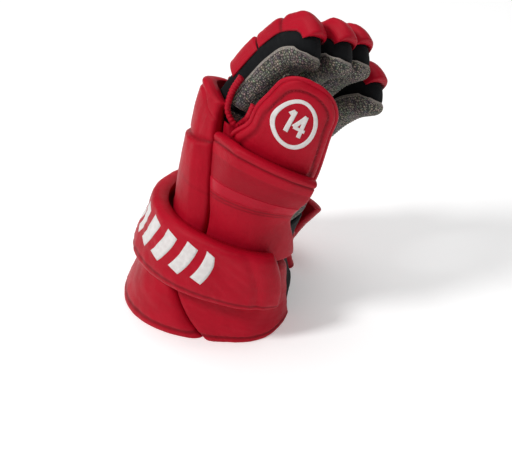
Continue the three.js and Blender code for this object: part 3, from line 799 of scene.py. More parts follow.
def woven(name, light, dark, painted_shade_and_tone_colour, thread, roughness, sheen, bump):
    """Plain woven cloth: two crossed sets of threads, faint clouding over some centimetres, and a
    darker colour where the shade attribute is set: painted shade in sewn furrows, creases and under a
    lip, and darker lines and bands elsewhere."""
    look = {"Sheen Weight": sheen, "Sheen Roughness": 0.45, "Specular IOR Level": 0.12}
    material, tree, shader = new_material(name, look)
    where = node(tree, "TexCoord")
    cloth, place = where.outputs["UV"], where.outputs["Object"]
    wave = {"Vector": cloth, "Scale": wave_scale(thread), "Distortion": 0.4}
    warp = node(tree, "TexWave", {"bands_direction": "X"}, wave)
    weft = node(tree, "TexWave", {"bands_direction": "Y"}, wave)
    crossed = {0: warp.outputs["Fac"], 1: weft.outputs["Fac"]}
    weave = node(tree, "Math", {"operation": "MAXIMUM"}, crossed)
    cloud = node(tree, "TexNoise", None, {"Vector": place, "Scale": 1 / CLOUDING, "Detail": 4.0})
    slub = node(tree, "TexNoise", None, {"Vector": cloth, "Scale": 1 / (3 * thread), "Detail": 2.0})
    sums = {"operation": "MULTIPLY_ADD"}
    threads = {0: weave.outputs[0], 1: 0.35, 2: cloud.outputs["Fac"]}
    tone = node(tree, "Math", sums, threads)
    uneven = {0: slub.outputs["Fac"], 1: 0.25, 2: tone.outputs[0]}
    tone = node(tree, "Math", {**sums, "use_clamp": True}, uneven)
    spread = node(tree, "MapRange", None, {"Value": tone.outputs[0], "From Min": 0.45, "From Max": 1.0})
    dyed = {"Factor": spread.outputs[0], 6: linear(dark), 7: linear(light)}
    colour = node(tree, "Mix", RGBA, dyed)
    shade = node(tree, "Attribute", {"attribute_name": "shade"})
    # The shade attribute mixes in the darker colour: painted shade in sewn furrows, creases and under a
    # lip, and darker lines and bands
    painted_shade_and_tone_mix = {"Factor": shade.outputs["Fac"], 6: colour.outputs[2], 7: linear(painted_shade_and_tone_colour)}
    painted_shade_and_edge_tone = node(tree, "Mix", RGBA, painted_shade_and_tone_mix)
    tree.links.new(painted_shade_and_edge_tone.outputs[2], shader.inputs["Base Color"])
    dull = {"Value": cloud.outputs["Fac"], "To Min": roughness - 0.06, "To Max": roughness + 0.08}
    rough = node(tree, "MapRange", None, dull)
    tree.links.new(rough.outputs[0], shader.inputs["Roughness"])
    slack = node(tree, "TexNoise", None, {"Vector": place, "Scale": 1 / SLACK, "Detail": 2.5})
    waves = {"Height": slack.outputs["Fac"], "Strength": 0.5, "Distance": SLACK_DEPTH}
    wrinkled = node(tree, "Bump", None, waves)
    ribbed = {"Height": weave.outputs[0], "Strength": 0.5, "Distance": bump}
    relief = node(tree, "Bump", None, {**ribbed, "Normal": wrinkled.outputs[0]})
    tree.links.new(relief.outputs[0], shader.inputs["Normal"])
    return material


def palm_leather():
    """Synthetic suede with a pebbled grip, as on a palm: grey-brown grains of about 1.6 mm with light
    tops and dark gaps, mottled over a centimetre, matt in the gaps and a little smoother on top. Its
    cut edge, which the shade attribute marks, is lighter."""
    material, tree, shader = new_material("pebbled palm leather", {"Specular IOR Level": 0.35})
    where = node(tree, "TexCoord")
    cloth, place = where.outputs["UV"], where.outputs["Object"]
    even = {"Vector": cloth, "Scale": 1 / GRAIN, "Randomness": 0.6}
    grain = node(tree, "TexVoronoi", {"feature": "DISTANCE_TO_EDGE"}, even)
    speck = node(tree, "TexVoronoi", None, even)
    cloud = node(tree, "TexNoise", None, {"Vector": place, "Scale": 1 / MOTTLE, "Detail": 5.0})
    risen = {"Value": grain.outputs["Distance"], "From Min": 0.08, "From Max": 0.34}
    top = node(tree, "MapRange", None, risen)
    dyed = {"Factor": top.outputs[0], 6: linear("3C3732"), 7: linear("A99B8E")}
    base = node(tree, "Mix", RGBA, dyed)
    clouded = {"Factor": 0.55, 6: base.outputs[2], 7: cloud.outputs["Color"]}
    mottled = node(tree, "Mix", {**RGBA, "blend_type": "OVERLAY"}, clouded)
    specked = {"Factor": 0.4, 6: mottled.outputs[2], 7: speck.outputs["Color"]}
    tint = node(tree, "Mix", {**RGBA, "blend_type": "SOFT_LIGHT"}, specked)
    grey = node(tree, "HueSaturation", None, {"Saturation": 0.55, "Color": tint.outputs[2]})
    shade = node(tree, "Attribute", {"attribute_name": "shade"})
    edge = {"Factor": shade.outputs["Fac"], 6: grey.outputs[0], 7: linear("9C948C")}
    painted_shade_and_edge_tone = node(tree, "Mix", RGBA, edge)
    tree.links.new(painted_shade_and_edge_tone.outputs[2], shader.inputs["Base Color"])
    rough = node(tree, "MapRange", None, {"Value": top.outputs[0], "To Min": 0.95, "To Max": 0.75})
    tree.links.new(rough.outputs[0], shader.inputs["Roughness"])
    relief = node(tree, "Bump", None, {"Height": top.outputs[0], "Strength": 0.6, "Distance": 0.0005})
    tree.links.new(relief.outputs[0], shader.inputs["Normal"])
    return material


def lining_knit():
    """Brushed polyester knit, soft and matt: grey with a plain darker check of 14 mm, and loops of
    1.2 mm in its relief."""
    look = {"Sheen Weight": 0.3, "Sheen Roughness": 0.6}
    material, tree, shader = new_material("grey checked lining", look)
    cloth = node(tree, "TexCoord").outputs["UV"]
    greys = {"Color1": linear("8D959B"), "Color2": linear("4C5358")}
    check = node(tree, "TexChecker", None, {"Vector": cloth, "Scale": 1 / CHECK, **greys})
    loops = node(tree, "TexVoronoi", None, {"Vector": cloth, "Scale": 1 / LOOP})
    knitted = {"Factor": 0.35, 6: check.outputs[0], 7: loops.outputs["Color"]}
    soft = node(tree, "Mix", {**RGBA, "blend_type": "MULTIPLY"}, knitted)
    plain = node(tree, "HueSaturation", None, {"Saturation": 0.25, "Color": soft.outputs[2]})
    tree.links.new(plain.outputs[0], shader.inputs["Base Color"])
    height = loops.outputs["Distance"]
    rough = node(tree, "MapRange", None, {"Value": height, "To Min": 0.85, "To Max": 0.98})
    tree.links.new(rough.outputs[0], shader.inputs["Roughness"])
    relief = node(tree, "Bump", None, {"Height": height, "Strength": 0.5, "Distance": 0.0004})
    tree.links.new(relief.outputs[0], shader.inputs["Normal"])
    return material


def white_print():
    """Screen-printed ink: nearly white, matt, a little worn over the threads in spots of 4 mm."""
    material, tree, shader = new_material("white printing ink", {"Specular IOR Level": 0.35})
    place = node(tree, "TexCoord").outputs["Object"]
    spots = node(tree, "TexNoise", None, {"Vector": place, "Scale": 1 / WORN, "Detail": 6.0})
    wear = spots.outputs["Fac"]
    amount = node(tree, "MapRange", None, {"Value": wear, "From Min": 0.35, "From Max": 0.7})
    inked = {"Factor": amount.outputs[0], 6: linear("DCD6D4"), 7: linear("EAE6E4")}
    colour = node(tree, "Mix", RGBA, inked)
    tree.links.new(colour.outputs[2], shader.inputs["Base Color"])
    rough = node(tree, "MapRange", None, {"Value": wear, "To Min": 0.5, "To Max": 0.65})
    tree.links.new(rough.outputs[0], shader.inputs["Roughness"])
    return material


# 840 denier nylon, coated behind: matt with a fine grain of threads, and painted shade in its sewn
#                                  furrows and creases. Its real
# threads of 0.5 mm are drawn at 0.9 mm so that they show
RED_NYLON = woven("woven red nylon", "B80B26", "9C081D", "4E040C", 0.0009, 0.42, 0.0, 0.0002)
# Satin tape 10 mm wide in the same red: smoother, and its colours are a little brighter as painted sheen
RED_TAPE = woven("satin red tape", "C0112D", "AA0C24", "600611", 0.0012, 0.3, 0.0, 0.0001)
# Bias binding of finer nylon over a cord
RED_BINDING = woven("red binding", "BC0F2A", "A00A20", "52050D", 0.0007, 0.4, 0.0, 0.00012)
# Elastic polyester cloth: black, dull and close; its threads of 0.3 mm are drawn at 1.1 mm
BLACK_GUSSET = woven("black stretch fabric", "17181A", "0C0D0F", "060607", 0.0011, 0.8, 0.03, 0.0002)
PALM_LEATHER = palm_leather()
LINING_KNIT = lining_knit()
WHITE_PRINT = white_print()
# Bonded polyester thread, lightly shiny
RED_THREAD = woven("red thread", "B5182F", "8F1024", "6E0A18", 0.0006, 0.4, 0.1, 0.00005)
GREY_THREAD = woven("light grey thread", "B9B2AA", "9A948C", "6B6660", 0.0006, 0.5, 0.1, 0.00005)

STEP = 1.6  # from line to line of a pad's grid


def padded_piece(name, pad, shade=None):
    """The cover of a padded node."""
    piece = make_piece(f"{name}_cover", pad.grids(STEP, shade), RED_NYLON, (name,))


def cloth(piece, slot, width, length, rests_on=()):
    """Takes a cloth or leather piece with its flat size in millimetres, works out half the area of its
    closed mesh, which has two faces, and its length in metres, and does nothing with them. The slot and
    the width are not used."""
    faces = piece.data.polygons
    areas = np.empty(len(faces), np.float32)
    faces.foreach_get("area", areas)
    area, length = float(areas.sum()) / 2, length / 1000
    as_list(rests_on)


def sheet_piece(name, pad, material, slot, nodes=(), rests_on=(), shade=None):
    """A sheet on a pad's base, cut flat to its width and height."""
    piece = make_piece(name, pad.grids(STEP, shade), material, nodes)
    cloth(piece, slot, pad.width, pad.height, rests_on)


# Cuff
FOOT_SEAM = 5.0
SEAM_WIDTH = 1.1
FOOT_PUCKER = 7.5  # from pucker to pucker along a seam
ROLL_PUCKER = 9


def puckers(x, from_seam, pitch, bent, fade):
    """Small waves along a seam, bent a little by creases, which fade with the distance from it."""
    return np.sin(x * math.tau / pitch + bent) * np.exp(-np.abs(from_seam) / fade)


def cuff_relief(seed):
    """Creases that run round the cuff and a stitched furrow above the rim."""

    def relief(x, y, u, v):
        from_seam = y - FOOT_SEAM
        bent = 2 * folds(x, y, seed + 1, 40)
        soft = 0.75 * folds(0.7 * x, 1.5 * y, seed, 44)
        seam = -1.1 * groove(from_seam, SEAM_WIDTH)
        return soft + seam + 0.22 * puckers(x, from_seam, FOOT_PUCKER, bent, 4)

    return relief


def foot_shade(x, y, u, v):
    """Painted shade in the furrow above the rim."""
    return 0.8 * groove(y - FOOT_SEAM, 1.0)


gauntlet = {"thick": GAUNTLET_THICK, "square_foot": True}
back_panel = Pad(
    on_shell(0, GAUNTLET_TOP, (-SLIT_FOOT, -SLIT_TOP), (SLIT_FOOT, SLIT_TOP)),
    relief=cuff_relief(3),
    **gauntlet,
)
padded_piece("gauntlet_back", back_panel, shade=foot_shade)
for side, way in (("thumb", 1), ("little", -1)):
    start = (way * (SLIT_FOOT + SLIT), way * (SLIT_TOP + SLIT))
    end = (way * GAUNTLET_END[side], way * GAUNTLET_END[side])
    side_panel = Pad(on_shell(0, GAUNTLET_TOP, start, end), relief=cuff_relief(5 + way), **gauntlet)
    padded_piece(f"gauntlet_{side}", side_panel, shade=foot_shade)


ROLL_SEAM = 5.5
ROLL_SIDE_SEAM = 16  # from each end of the roll to its furrow


def roll_relief(x, y, u, v):
    """A full, flat-faced roll with shallow dents, and a furrow where its cover is sewn down."""
    soft = 1.0 * folds(x, 1.4 * y, 11, 64)
    seams = -0.8 * groove(y - ROLL_SEAM, 1.2)
    pucker = 0.25 * puckers(x, y - ROLL_SEAM, ROLL_PUCKER, 2 * folds(x, y, 12, 50), 5)
    start = -1.6 * groove(x - ROLL_SIDE_SEAM, 2.5)
    end = -1.6 * groove(roll.width - x - ROLL_SIDE_SEAM, 2.5)
    return soft + seams + pucker + start + end


def roll_shade(x, y, u, v):
    """Painted shade in the furrow along the roll's foot."""
    return 0.6 * groove(y - ROLL_SEAM, 1.0)


roll = Pad(
    on_shell(ROLL_FOOT, ROLL_TOP, (-ROLL_END, -ROLL_END), (ROLL_END, ROLL_END), flare=ROLL_FLARE),
    ROLL_THICK,
    rest=REST + GAUNTLET_THICK + REST,
    edge=9,
    square=3.8,
    relief=roll_relief,
)
padded_piece("cuff_roll", roll, shade=roll_shade)

# Back of the hand
BLOCK_SQUARE = 3.2  # foam cut with a knife: nearly square edges
BLOCK_EDGE = 5
BLOCK_HEIGHT = BACKHAND[1]["top"] - BACKHAND_FOOT
BLOCK_CUTS = (0.42, 0.74)  # shares of a block's height at which it is cut across
BLOCK_LINE = 0.36
BEND = 0.59  # share of the thumb block's height at which it bends back
BEND_CLIMB = 0.12
BEND_WIDTH = 0.014
BLOCK_RIDGE = 0.72


def past_bend(u, v):
    """Share of the thumb block's height above its bend, which climbs towards the thumb."""
    return v - BEND - BEND_CLIMB * u * u


def thumb_block_relief(x, y, u, v):
    """Below the bend the block is folded round the hand, with a ridge between two flat faces; above
    it the block is thinner, with creases at the bend and near its top."""
    above = past_bend(u, v)
    below = ease(0.5 - above / 0.04)
    face = np.where(u < BLOCK_RIDGE, BLOCK_RIDGE, 1 - BLOCK_RIDGE)
    fold = np.maximum(0, 1 - np.abs(u - BLOCK_RIDGE) / face)
    crease = 2.4 * groove(above, BEND_WIDTH) * ease((u - 0.1) / 0.2)
    top = 1.5 * groove(v - 0.9 - 0.04 * np.sin(5 * u), BEND_WIDTH)
    pull = 0.9 * folds(x, 0.5 * y, 22, 34) * (0.35 + 0.65 * groove(above, 0.16))
    return below * (6 * fold - 1) - crease - top - 1.5 * (1 - below) + pull


def thumb_block_shade(x, y, u, v):
    """Painted shade in the crease of the bend, and dark along a fine line below it."""
    crease = 0.5 * groove(past_bend(u, v), 0.01) * ease((u - 0.1) / 0.2)
    return crease + 0.35 * groove(v - BLOCK_LINE, 0.006)


def bent_block_relief(seed):
    """Cut across in two places so that it bends: a deep furrow at each, and soft dents between."""

    def relief(x, y, u, v):
        cuts = sum(3.4 * groove(v - at, 2.2 / BLOCK_HEIGHT) for at in BLOCK_CUTS)
        between_cuts = (v - BLOCK_CUTS[0]) / (BLOCK_CUTS[1] - BLOCK_CUTS[0])
        swell = 1.2 * np.abs(np.sin(math.pi * between_cuts))
        return 0.5 * folds(x, y, seed, 44) - cuts + swell

    return relief


def block_shade(x, y, u, v):
    """Painted shade in the two furrows."""
    return sum(0.8 * groove(v - at, 1.6 / BLOCK_HEIGHT) for at in BLOCK_CUTS)


for seed, row in enumerate(BACKHAND):
    folded = row["name"] == "backhand_thumb"
    block = Pad(
        on_shell(BACKHAND_FOOT, row["top"], row["start"], row["end"], fall=row["fall"]),
        BACKHAND_THICK,
        edge=BLOCK_EDGE,
        square=BLOCK_SQUARE,
        relief=thumb_block_relief if folded else bent_block_relief(20 + seed),
    )
    padded_piece(row["name"], block, shade=thumb_block_shade if folded else block_shade)

# Wrist pad: a folded top edge, a band above a tape of the same red, and two fine ribs below it; all
# are shares of its height
LIP = 0.93
BAND = (0.64, 0.84)
TAPE = (0.545, 0.638)
RIBS = (0.525, 0.5)
RIB_WIDTH = 0.006


def in_band(v):
    """1 on the sewn band across the wrist pad and 0 off it, with soft edges."""
    return ease((v - BAND[0]) / 0.01) * ease((BAND[1] - v) / 0.01)


def flap_relief(x, y, u, v):
    """A furrow under the folded lip, a band pressed in, and raised ribs."""
    soft = 0.6 * folds(x, 0.7 * y, 31, 56)
    fold = -1.5 * groove(v - LIP, 0.009) + 0.5 * ease((v - LIP) / 0.02)
    return soft + fold - 0.35 * in_band(v) + sum(0.5 * groove(v - at, RIB_WIDTH) for at in RIBS)


def flap_shade(x, y, u, v):
    """Painted shade under the lip, and dark on the band and just above each rib."""
    ribs = sum(0.5 * groove(v - at + 2 * RIB_WIDTH, RIB_WIDTH) for at in RIBS)
    return 0.24 * in_band(v) + 0.75 * groove(v - LIP, 0.008) + ribs


flap = Pad(wrist_flap, WRIST_PAD_THICK, edge=5, square=3, relief=flap_relief)
padded_piece("wrist_pad", flap, shade=flap_shade)


def on_pad(pad, across, up):
    """A patch of a pad's outer face."""

    def base(u, v, lift):
        return pad.surface(mix(across[0], across[1], u), mix(up[0], up[1], v), lift)

    return base


tape = Pad(on_pad(flap, (0.012, 0.985), TAPE), 0.5, rest=0.05, edge=0.8, crown=0)
sheet_piece("wrist_tape", tape, RED_TAPE, "red nylon", rests_on=["wrist_pad_cover"])

# Thumb
RIM_SEAM = 8.5  # from the outline of the pad to its sewn furrow
RIM_PUCKER = 6
RIM_POINTS = 30


def tongue_edge(u, v):
    """Distance in from the outline of the thumb's pad, in millimetres, over its sides and its top."""
    half = tongue_half(u, v)
    tall = PAD_TOP - THUMB_PAD_FOOT
    past = np.maximum(0, (v - 1) * tall / half + 1)
    across = np.abs(2 * u - 1) * half * np.sqrt(1 - (1 - THUMB_PAD_FLAT**2) * past**2)
    up = v * tall - (tall - half)
    return half - np.where(up > 0, np.hypot(across, up), across)


def tongue_relief(x, y, u, v):
    """A sewn furrow that follows the outline, a fine one inside it, and puckers along both."""
    from_seam = tongue_edge(u, v) - RIM_SEAM
    soft = 0.4 * folds(x, y, 41, 52)
    pucker = 0.2 * puckers(y, from_seam, RIM_PUCKER, 3 * folds(x, y, 42, 40), 3)
    return soft + pucker - 1.5 * groove(from_seam, SEAM_WIDTH) - 0.5 * groove(from_seam - 3, 0.7)


def tongue_shade(x, y, u, v):
    """Painted shade in the sewn furrow."""
    return 0.8 * groove(tongue_edge(u, v) - RIM_SEAM, 1.0)


thumb_cover = Pad(tongue, THUMB_PAD_THICK, relief=tongue_relief)
padded_piece("thumb_pad", thumb_cover, shade=tongue_shade)


def rim_furrow():
    """The furrow round the thumb's pad as shares u and v: up one side, round the top and down the
    other. It stays RIM_SEAM inside the outline."""
    tall = PAD_TOP - THUMB_PAD_FOOT
    half = float(tongue_half(np.array(0.5), np.array(1.0)))
    turn = np.linspace(0, math.pi, 2 * RIM_POINTS)
    up = tall - half + (half - RIM_SEAM) * np.sin(turn)
    narrow = np.sqrt(1 - (1 - THUMB_PAD_FLAT**2) * (np.maximum(0, up - tall + half) / half) ** 2)
    across = (half - RIM_SEAM) * np.cos(turn) / (2 * half * narrow)
    side_v = np.linspace(0.2, (tall - half) / tall, RIM_POINTS)
    right_u = 1 - RIM_SEAM / (2 * tongue_half(np.ones(RIM_POINTS), side_v))
    left_u = RIM_SEAM / (2 * tongue_half(np.zeros(RIM_POINTS), side_v))
    row_u = np.concatenate([right_u, 0.5 + across, left_u[::-1]])
    row_v = np.concatenate([side_v, up / tall, side_v[::-1]])
    return row_u, row_v


rim_stitches = stitch_row(thumb_cover.surface, *rim_furrow())
make_piece("thumb_pad_stitches", rim_stitches, RED_THREAD)


# Sleeves
SLEEVE_RADIUS = 18
SLEEVE_SIDES = 56
SLEEVE_STEP = 2.2
CREASE_PITCH = 7
CREASE_REACH = 13
CREASE_DEPTH = 0.7


def bend_folds(digit, seed):
    """Creases across the inside of each joint, and soft ones elsewhere."""

    def lift(s, around):
        turn = np.radians(around)
        x, y = np.cos(turn) * SLEEVE_RADIUS, np.sin(turn) * SLEEVE_RADIUS
        soft = 0.5 * folds(x + 0.3 * s, y + s, seed, 26)
        inside = 0.5 - 0.5 * np.cos(turn)
        wave = np.sin(s * math.tau / CREASE_PITCH + 0.04 * around)
        near = sum(groove(s - joint * digit.length, CREASE_REACH) for joint in digit.joints)
        return soft + CREASE_DEPTH * near * inside * wave

    return lift


def sleeve_grids(digit, seed, start=None):
    """A hollow sleeve: up its inside from the tip, over its root and back along its outside, with a
    round tip. start gives the distance along the digit at which each side begins."""
    around = np.linspace(0, 360, SLEEVE_SIDES + 1)
    folded = bend_folds(digit, seed)
    begin = np.zeros(SLEEVE_SIDES + 1) if start is None else start(around)
    rows = int(digit.length / SLEEVE_STEP)
    share = np.linspace(0, 1, rows + 1)[:, None]
    s = begin + (digit.length - begin) * share
    last = np.array(float(digit.length))
    end = digit.centre(last)
    ahead = digit.frame(last)[1]
    over = np.radians(np.linspace(0, 90, 10))[1:]
    tip_reach = digit.depth(1.0) / 2

    def skin(depth, crease):
        rise = crease * folded(s, around[None]) * ease(s / 20)
        body = digit.point(s, around[None] + 0 * s, rise - depth)
        rim = body[-1] - end
        out = ahead * ((tip_reach - depth) * np.sin(over))[:, None, None]
        tip = rim[None] * np.cos(over)[:, None, None] + end + out
        return np.concatenate([body, tip])

    outer = skin(0, 1.0)
    inner = skin(SLEEVE_WALL, 0.6)
    grid = np.concatenate([inner[::-1], outer])
    length = digit.length + tip_reach * over
    along = np.concatenate([s, np.repeat(length[:, None], SLEEVE_SIDES + 1, axis=1)])
    girth = np.broadcast_to(np.radians(around) * 15, along.shape)
    flat = np.stack([girth, along], axis=-1)
    return [(grid, np.concatenate([flat[::-1], flat]), 0.0, False)]


def thumb_start(around):
    """Distance along the thumb at which each side comes out of the hand bag."""
    s = np.linspace(0, 0.9 * THUMB_LENGTH, 400)
    inside = bag_depth(thumb.point(s[:, None], around[None])) < CUT_GAP + 0.6
    last = np.where(inside.any(axis=0), inside.shape[0] - 1 - np.argmax(inside[::-1], axis=0), 0)
    found = s[last]
    # Each side takes the mean of seven: itself and three on both sides
    wrapped = np.concatenate([found[-4:-1], found, found[1:4]])
    return np.convolve(wrapped, np.ones(7) / 7, mode="valid")


def gusset(name, digit, seed, start=None):
    """A sleeve over a digit, sewn from one piece. Its girth near the root and its length with its tip are
    worked out, and nothing is done with them.
    """
    grids = sleeve_grids(digit, seed, start)
    piece = make_piece(f"{name}_gusset", grids, BLACK_GUSSET, (f"{name}_sleeve",))
    girth = Pad.path_length(digit.point(0.3 * digit.length, np.linspace(0, 360, 73)))
    cloth(piece, "black gusset fabric", girth, digit.length + digit.depth(1.0))


for seed, (name, digit) in enumerate(fingers.items()):
    gusset(name, digit, 60 + seed)
gusset("thumb", thumb, 70, thumb_start)

# Finger pads and strips
FOAM = {"edge": 5.5, "square": 3, "crown": 0.06}
FOAM_END = 3.2  # edge at the two ends of a finger pad
HEM = 1.6  # from a strip's outline to its light stitched line
STRIP_ROUND = 0.14  # share of a strip's length that its round end takes
STITCHED = (0.03, 0.84)


def finger_pads(name, digit, seed):
    """The two pads on a finger's back, with a gap between them at its first joint. The tip's pad has
    a crest over the end of the finger, and a furrow sewn across it at the second joint."""
    knuckle = digit.joints[0] * digit.length
    tip_end = digit.length + TIP_PAD_ROLL * FINGER_TIP_DEPTH
    reach = tip_end - knuckle
    second = (digit.joints[1] * digit.length - knuckle) / reach
    crest = (digit.length + 2 - knuckle) / reach
    back = {"turns": (-BACK_TURN, BACK_TURN), "spread": CUT_GAP}

    def base_dents(x, y, u, v):
        return 0.4 * folds(x, y, 80 + seed, 30)

    def tip_dents(x, y, u, v):
        tent = 3.2 * np.maximum(0, 1 - np.abs(v - crest) * reach / 15)
        sewn = 2.6 * groove((v - second) * reach, 2.0)
        return 0.5 * folds(x, y, 90 + seed, 30) + tent - sewn - 1.6

    # Painted shade in the furrow sewn across the tip pad at the second joint
    def tip_shade(x, y, u, v):
        return 0.7 * groove((v - second) * reach, 1.4)

    near = on_digit(digit, FINGER_PAD_FOOT, knuckle - KNUCKLE_GAP, **back)
    base_pad = Pad(near, FINGER_PAD_THICK, relief=base_dents, **FOAM)
    base_pad.edge_v = FOAM_END / base_pad.height
    padded_piece(f"{name}_base_pad", base_pad)
    far = on_digit(digit, knuckle + KNUCKLE_GAP, tip_end, **back)
    tip_pad = Pad(far, TIP_PAD_THICK, rest=FINGER_REST, relief=tip_dents, **FOAM)
    tip_pad.edge_v = FOAM_END / tip_pad.height
    padded_piece(f"{name}_tip_pad", tip_pad, shade=tip_shade)


def finger_strip(name, digit):
    """The leather on a finger's inside, with a round end and a hem stitched along both sides."""

    def strip_base(u, v, lift):
        length = digit.length + STRIP_ROLL * FINGER_TIP_DEPTH
        past = np.maximum(0, (v - 1 + STRIP_ROUND) / STRIP_ROUND)
        middle, half = sum(STRIP_TURNS) / 2, (STRIP_TURNS[1] - STRIP_TURNS[0]) / 2
        turn = middle + (2 * u - 1) * half * np.sqrt(1 - 0.85 * past * past)
        return digit.point(mix(STRIP_FOOT, length, v), turn, lift)

    strip = Pad(strip_base, STRIP_THICK, rest=FINGER_REST, edge=SHEET_EDGE, crown=0)

    def hem(x, y, u, v):
        inside = np.minimum(np.minimum(x, strip.width - x), np.minimum(y, strip.height - y))
        return 0.75 * ease(1.4 - inside / HEM)

    node_name, below = (f"{name}_strip",), [f"{name}_gusset"]
    sheet_piece(f"{name}_leather", strip, PALM_LEATHER, "palm leather", node_name, below, hem)
    along = np.linspace(*STITCHED, 40)
    sides = [np.full_like(along, share) for share in (HEM / strip.width, 1 - HEM / strip.width)]
    rows = [stitch_row(strip.surface, side, along) for side in sides]
    make_piece(f"{name}_stitches", rows[0] + rows[1], GREY_THREAD)


for seed, (name, digit) in enumerate(fingers.items()):
    finger_pads(name, digit, seed)
    finger_strip(name, digit)

# Cloth and leather sheets
cuff_cloth = Pad(
    on_shell(0, CUFF_PALM_TOP, (PALM_START, PALM_START), (PALM_END, PALM_END)),
    CUFF_PALM_THICK,
    edge=SHEET_EDGE,
    crown=0,
    square_foot=True,
    relief=lambda x, y, u, v: 0.5 * folds(x, y, 51, 40),
)
cloth_slot = "black gusset fabric"
sheet_piece("cuff_palm_cloth", cuff_cloth, BLACK_GUSSET, cloth_slot, ("cuff_palm",), ["bag_cloth"])
thumb_end = THUMB_LENGTH + THUMB_PALM_ROLL * THUMB_DEPTH
thumb_leather = Pad(
    on_digit(thumb, THUMB_PALM_FOOT, thumb_end, (-THUMB_PALM_TURN, THUMB_PALM_TURN)),
    STRIP_THICK,
    edge=SHEET_EDGE,
    crown=0,
)
below = ["thumb_gusset"]
sheet_piece("thumb_leather", thumb_leather, PALM_LEATHER, "palm leather", ("thumb_palm",), below)


def digit_solid(digit, lift):
    """A closed solid of the digit's outside, for cutting: rings along it, and a fan over each end."""
    around = np.linspace(0, 360, 65)
    s = np.linspace(0, digit.length, 60)
    body = digit.point(s[:, None], around[None], lift)
    ends = [np.broadcast_to(row[:-1].mean(axis=0), row.shape)[None] for row in (body[0], body[-1])]
    grid = np.concatenate([ends[0], body, ends[1]])
    flat = np.zeros(grid.shape[:2] + (2,))
    return make_piece("cutter", [(grid, flat, 0.0, False)], BLACK_GUSSET)


def cut(piece, digit, lift):
    """Cuts a piece where a digit comes through it."""
    cutter = digit_solid(digit, lift)
    modifier = piece.modifiers.new("cut", "BOOLEAN")
    modifier.operation = "DIFFERENCE"
    modifier.solver = "EXACT"
    modifier.object = cutter
    graph = bpy.context.evaluated_depsgraph_get()
    mesh = bpy.data.meshes.new_from_object(piece.evaluated_get(graph))
    piece.modifiers.clear()
    piece.data = mesh
    bpy.data.objects.remove(cutter)


palm_cloth = Pad(
    on_shell(PALM_FOOT, KNUCKLE_HEIGHT, (128, 130), (270, 258)),
    PALM_THICK,
    edge=SHEET_EDGE,
    crown=0,
    relief=lambda x, y, u, v: 0.35 * folds(x, y, 52, 36),
)
piece = make_piece("palm_leather", palm_cloth.grids(STEP), PALM_LEATHER, ("palm",))
cut(piece, thumb, CUT_GAP)
cloth(piece, "palm leather", palm_cloth.width, palm_cloth.height, ["bag_cloth"])

# Hand bag: black cloth outside and the knitted lining inside, open at the cuff and at the knuckles
BAG_SKINS = [
    {"name": "bag_cloth", "material": BLACK_GUSSET, "slot": cloth_slot, "depths": (0.0, 1.1)},
    {"name": "lining_knit", "material": LINING_KNIT, "slot": "lining knit", "depths": (1.2, LINING_WALL)},
]
BAG_ROWS = 40
BAG_MAP = 1.15  # millimetres of cloth to a degree round the bag
turns = np.linspace(0, 360, 129)
below_wrist = np.linspace(0, WRIST_HEIGHT, BAG_ROWS)[:-1]
heights = np.concatenate([below_wrist, np.linspace(WRIST_HEIGHT, KNUCKLE_HEIGHT, BAG_ROWS)])
for skin in BAG_SKINS:
    outside, inside = (shell(turns[None], heights[:, None], -depth) for depth in skin["depths"])
    flat = np.stack(np.broadcast_arrays(turns[None] * BAG_MAP, heights[:, None]), axis=-1)
    grid = np.concatenate([outside, inside[::-1], outside[:1]])
    flat = np.concatenate([flat, flat[::-1], flat[:1]])
    piece = make_piece(skin["name"], [(grid, flat, 0.0, False)], skin["material"], ("lining",))
    cut(piece, thumb, -SLEEVE_WALL)
    cloth(piece, skin["slot"], Pad.path_length(outside[0]), Pad.path_length(outside[:, 0]))

# Web of the thumb: nylon between the thumb's block, the wrist pad and the crotch
WEB_FOOT = 160
WEB_TOP = 187
WEB_START = (109, 119.5)  # turns round the hand bag at its foot and its top
WEB_END = (136, 137)
WEB_CLIMB = 2.6  # it climbs over the edge of the palm
WEB_CLIMB_FROM = 119
WEB_CLIMB_SPAN = 8


def web_base(u, v, lift):
    """A patch of the hand bag that lifts as it passes over the palm's edge."""
    height = mix(WEB_FOOT, WEB_TOP, v)
    turn = mix(mix(*WEB_START, v), mix(*WEB_END, v), u)
    return shell(turn, height, lift + WEB_CLIMB * ease((turn - WEB_CLIMB_FROM) / WEB_CLIMB_SPAN))


web = Pad(web_base, 1.8, rest=1.4, edge=2, crown=0)
sheet_piece("thumb_web", web, RED_NYLON, "red nylon", rests_on=["bag_cloth"])

# Piping round the crotch of the thumb
PIPING_ON_THUMB = (105, 94)  # distances along the thumb
PIPING_ON_BAG = ((140, 194), (134, 189), (127, 197))  # turns round the hand bag, and heights
PIPING_ON_INDEX = ((20, -104), (40, -96))  # distances along the index finger, and turns round it
PIPING_RADIUS = BINDING_RADIUS + 0.45
GATHER = 3.4  # from gather to gather of the bias binding
GATHER_DEPTH = 0.2
beside = -(THUMB_PAD_WIDTH / 2 + BINDING_RADIUS + 0.5)  # just past the pad's edge on the crotch's side


def smooth_path(points, count):
    """A centripetal Catmull-Rom curve through points: each stretch blends lines in the square root
    of the distances between its four nearest points."""
    points = np.vstack([2 * points[0] - points[1], points, 2 * points[-1] - points[-2]])
    gaps = np.linalg.norm(np.diff(points, axis=0), axis=1) ** 0.5
    knots = np.concatenate([[0], np.cumsum(gaps)])
    t = np.linspace(knots[1], knots[-2], count)
    k = np.clip(np.searchsorted(knots, t, side="right") - 1, 1, len(points) - 3)
    p = [points[k + j] for j in (-1, 0, 1, 2)]
    q = [knots[k + j] for j in (-1, 0, 1, 2)]

    def blend(a, b, low, high):
        return mix(a, b, ((t - q[low]) / (q[high] - q[low]))[:, None])

    lines = [blend(p[j], p[j + 1], j, j + 1) for j in range(3)]
    before = blend(lines[0], lines[1], 0, 2)
    after = blend(lines[1], lines[2], 1, 3)
    return blend(before, after, 1, 2)


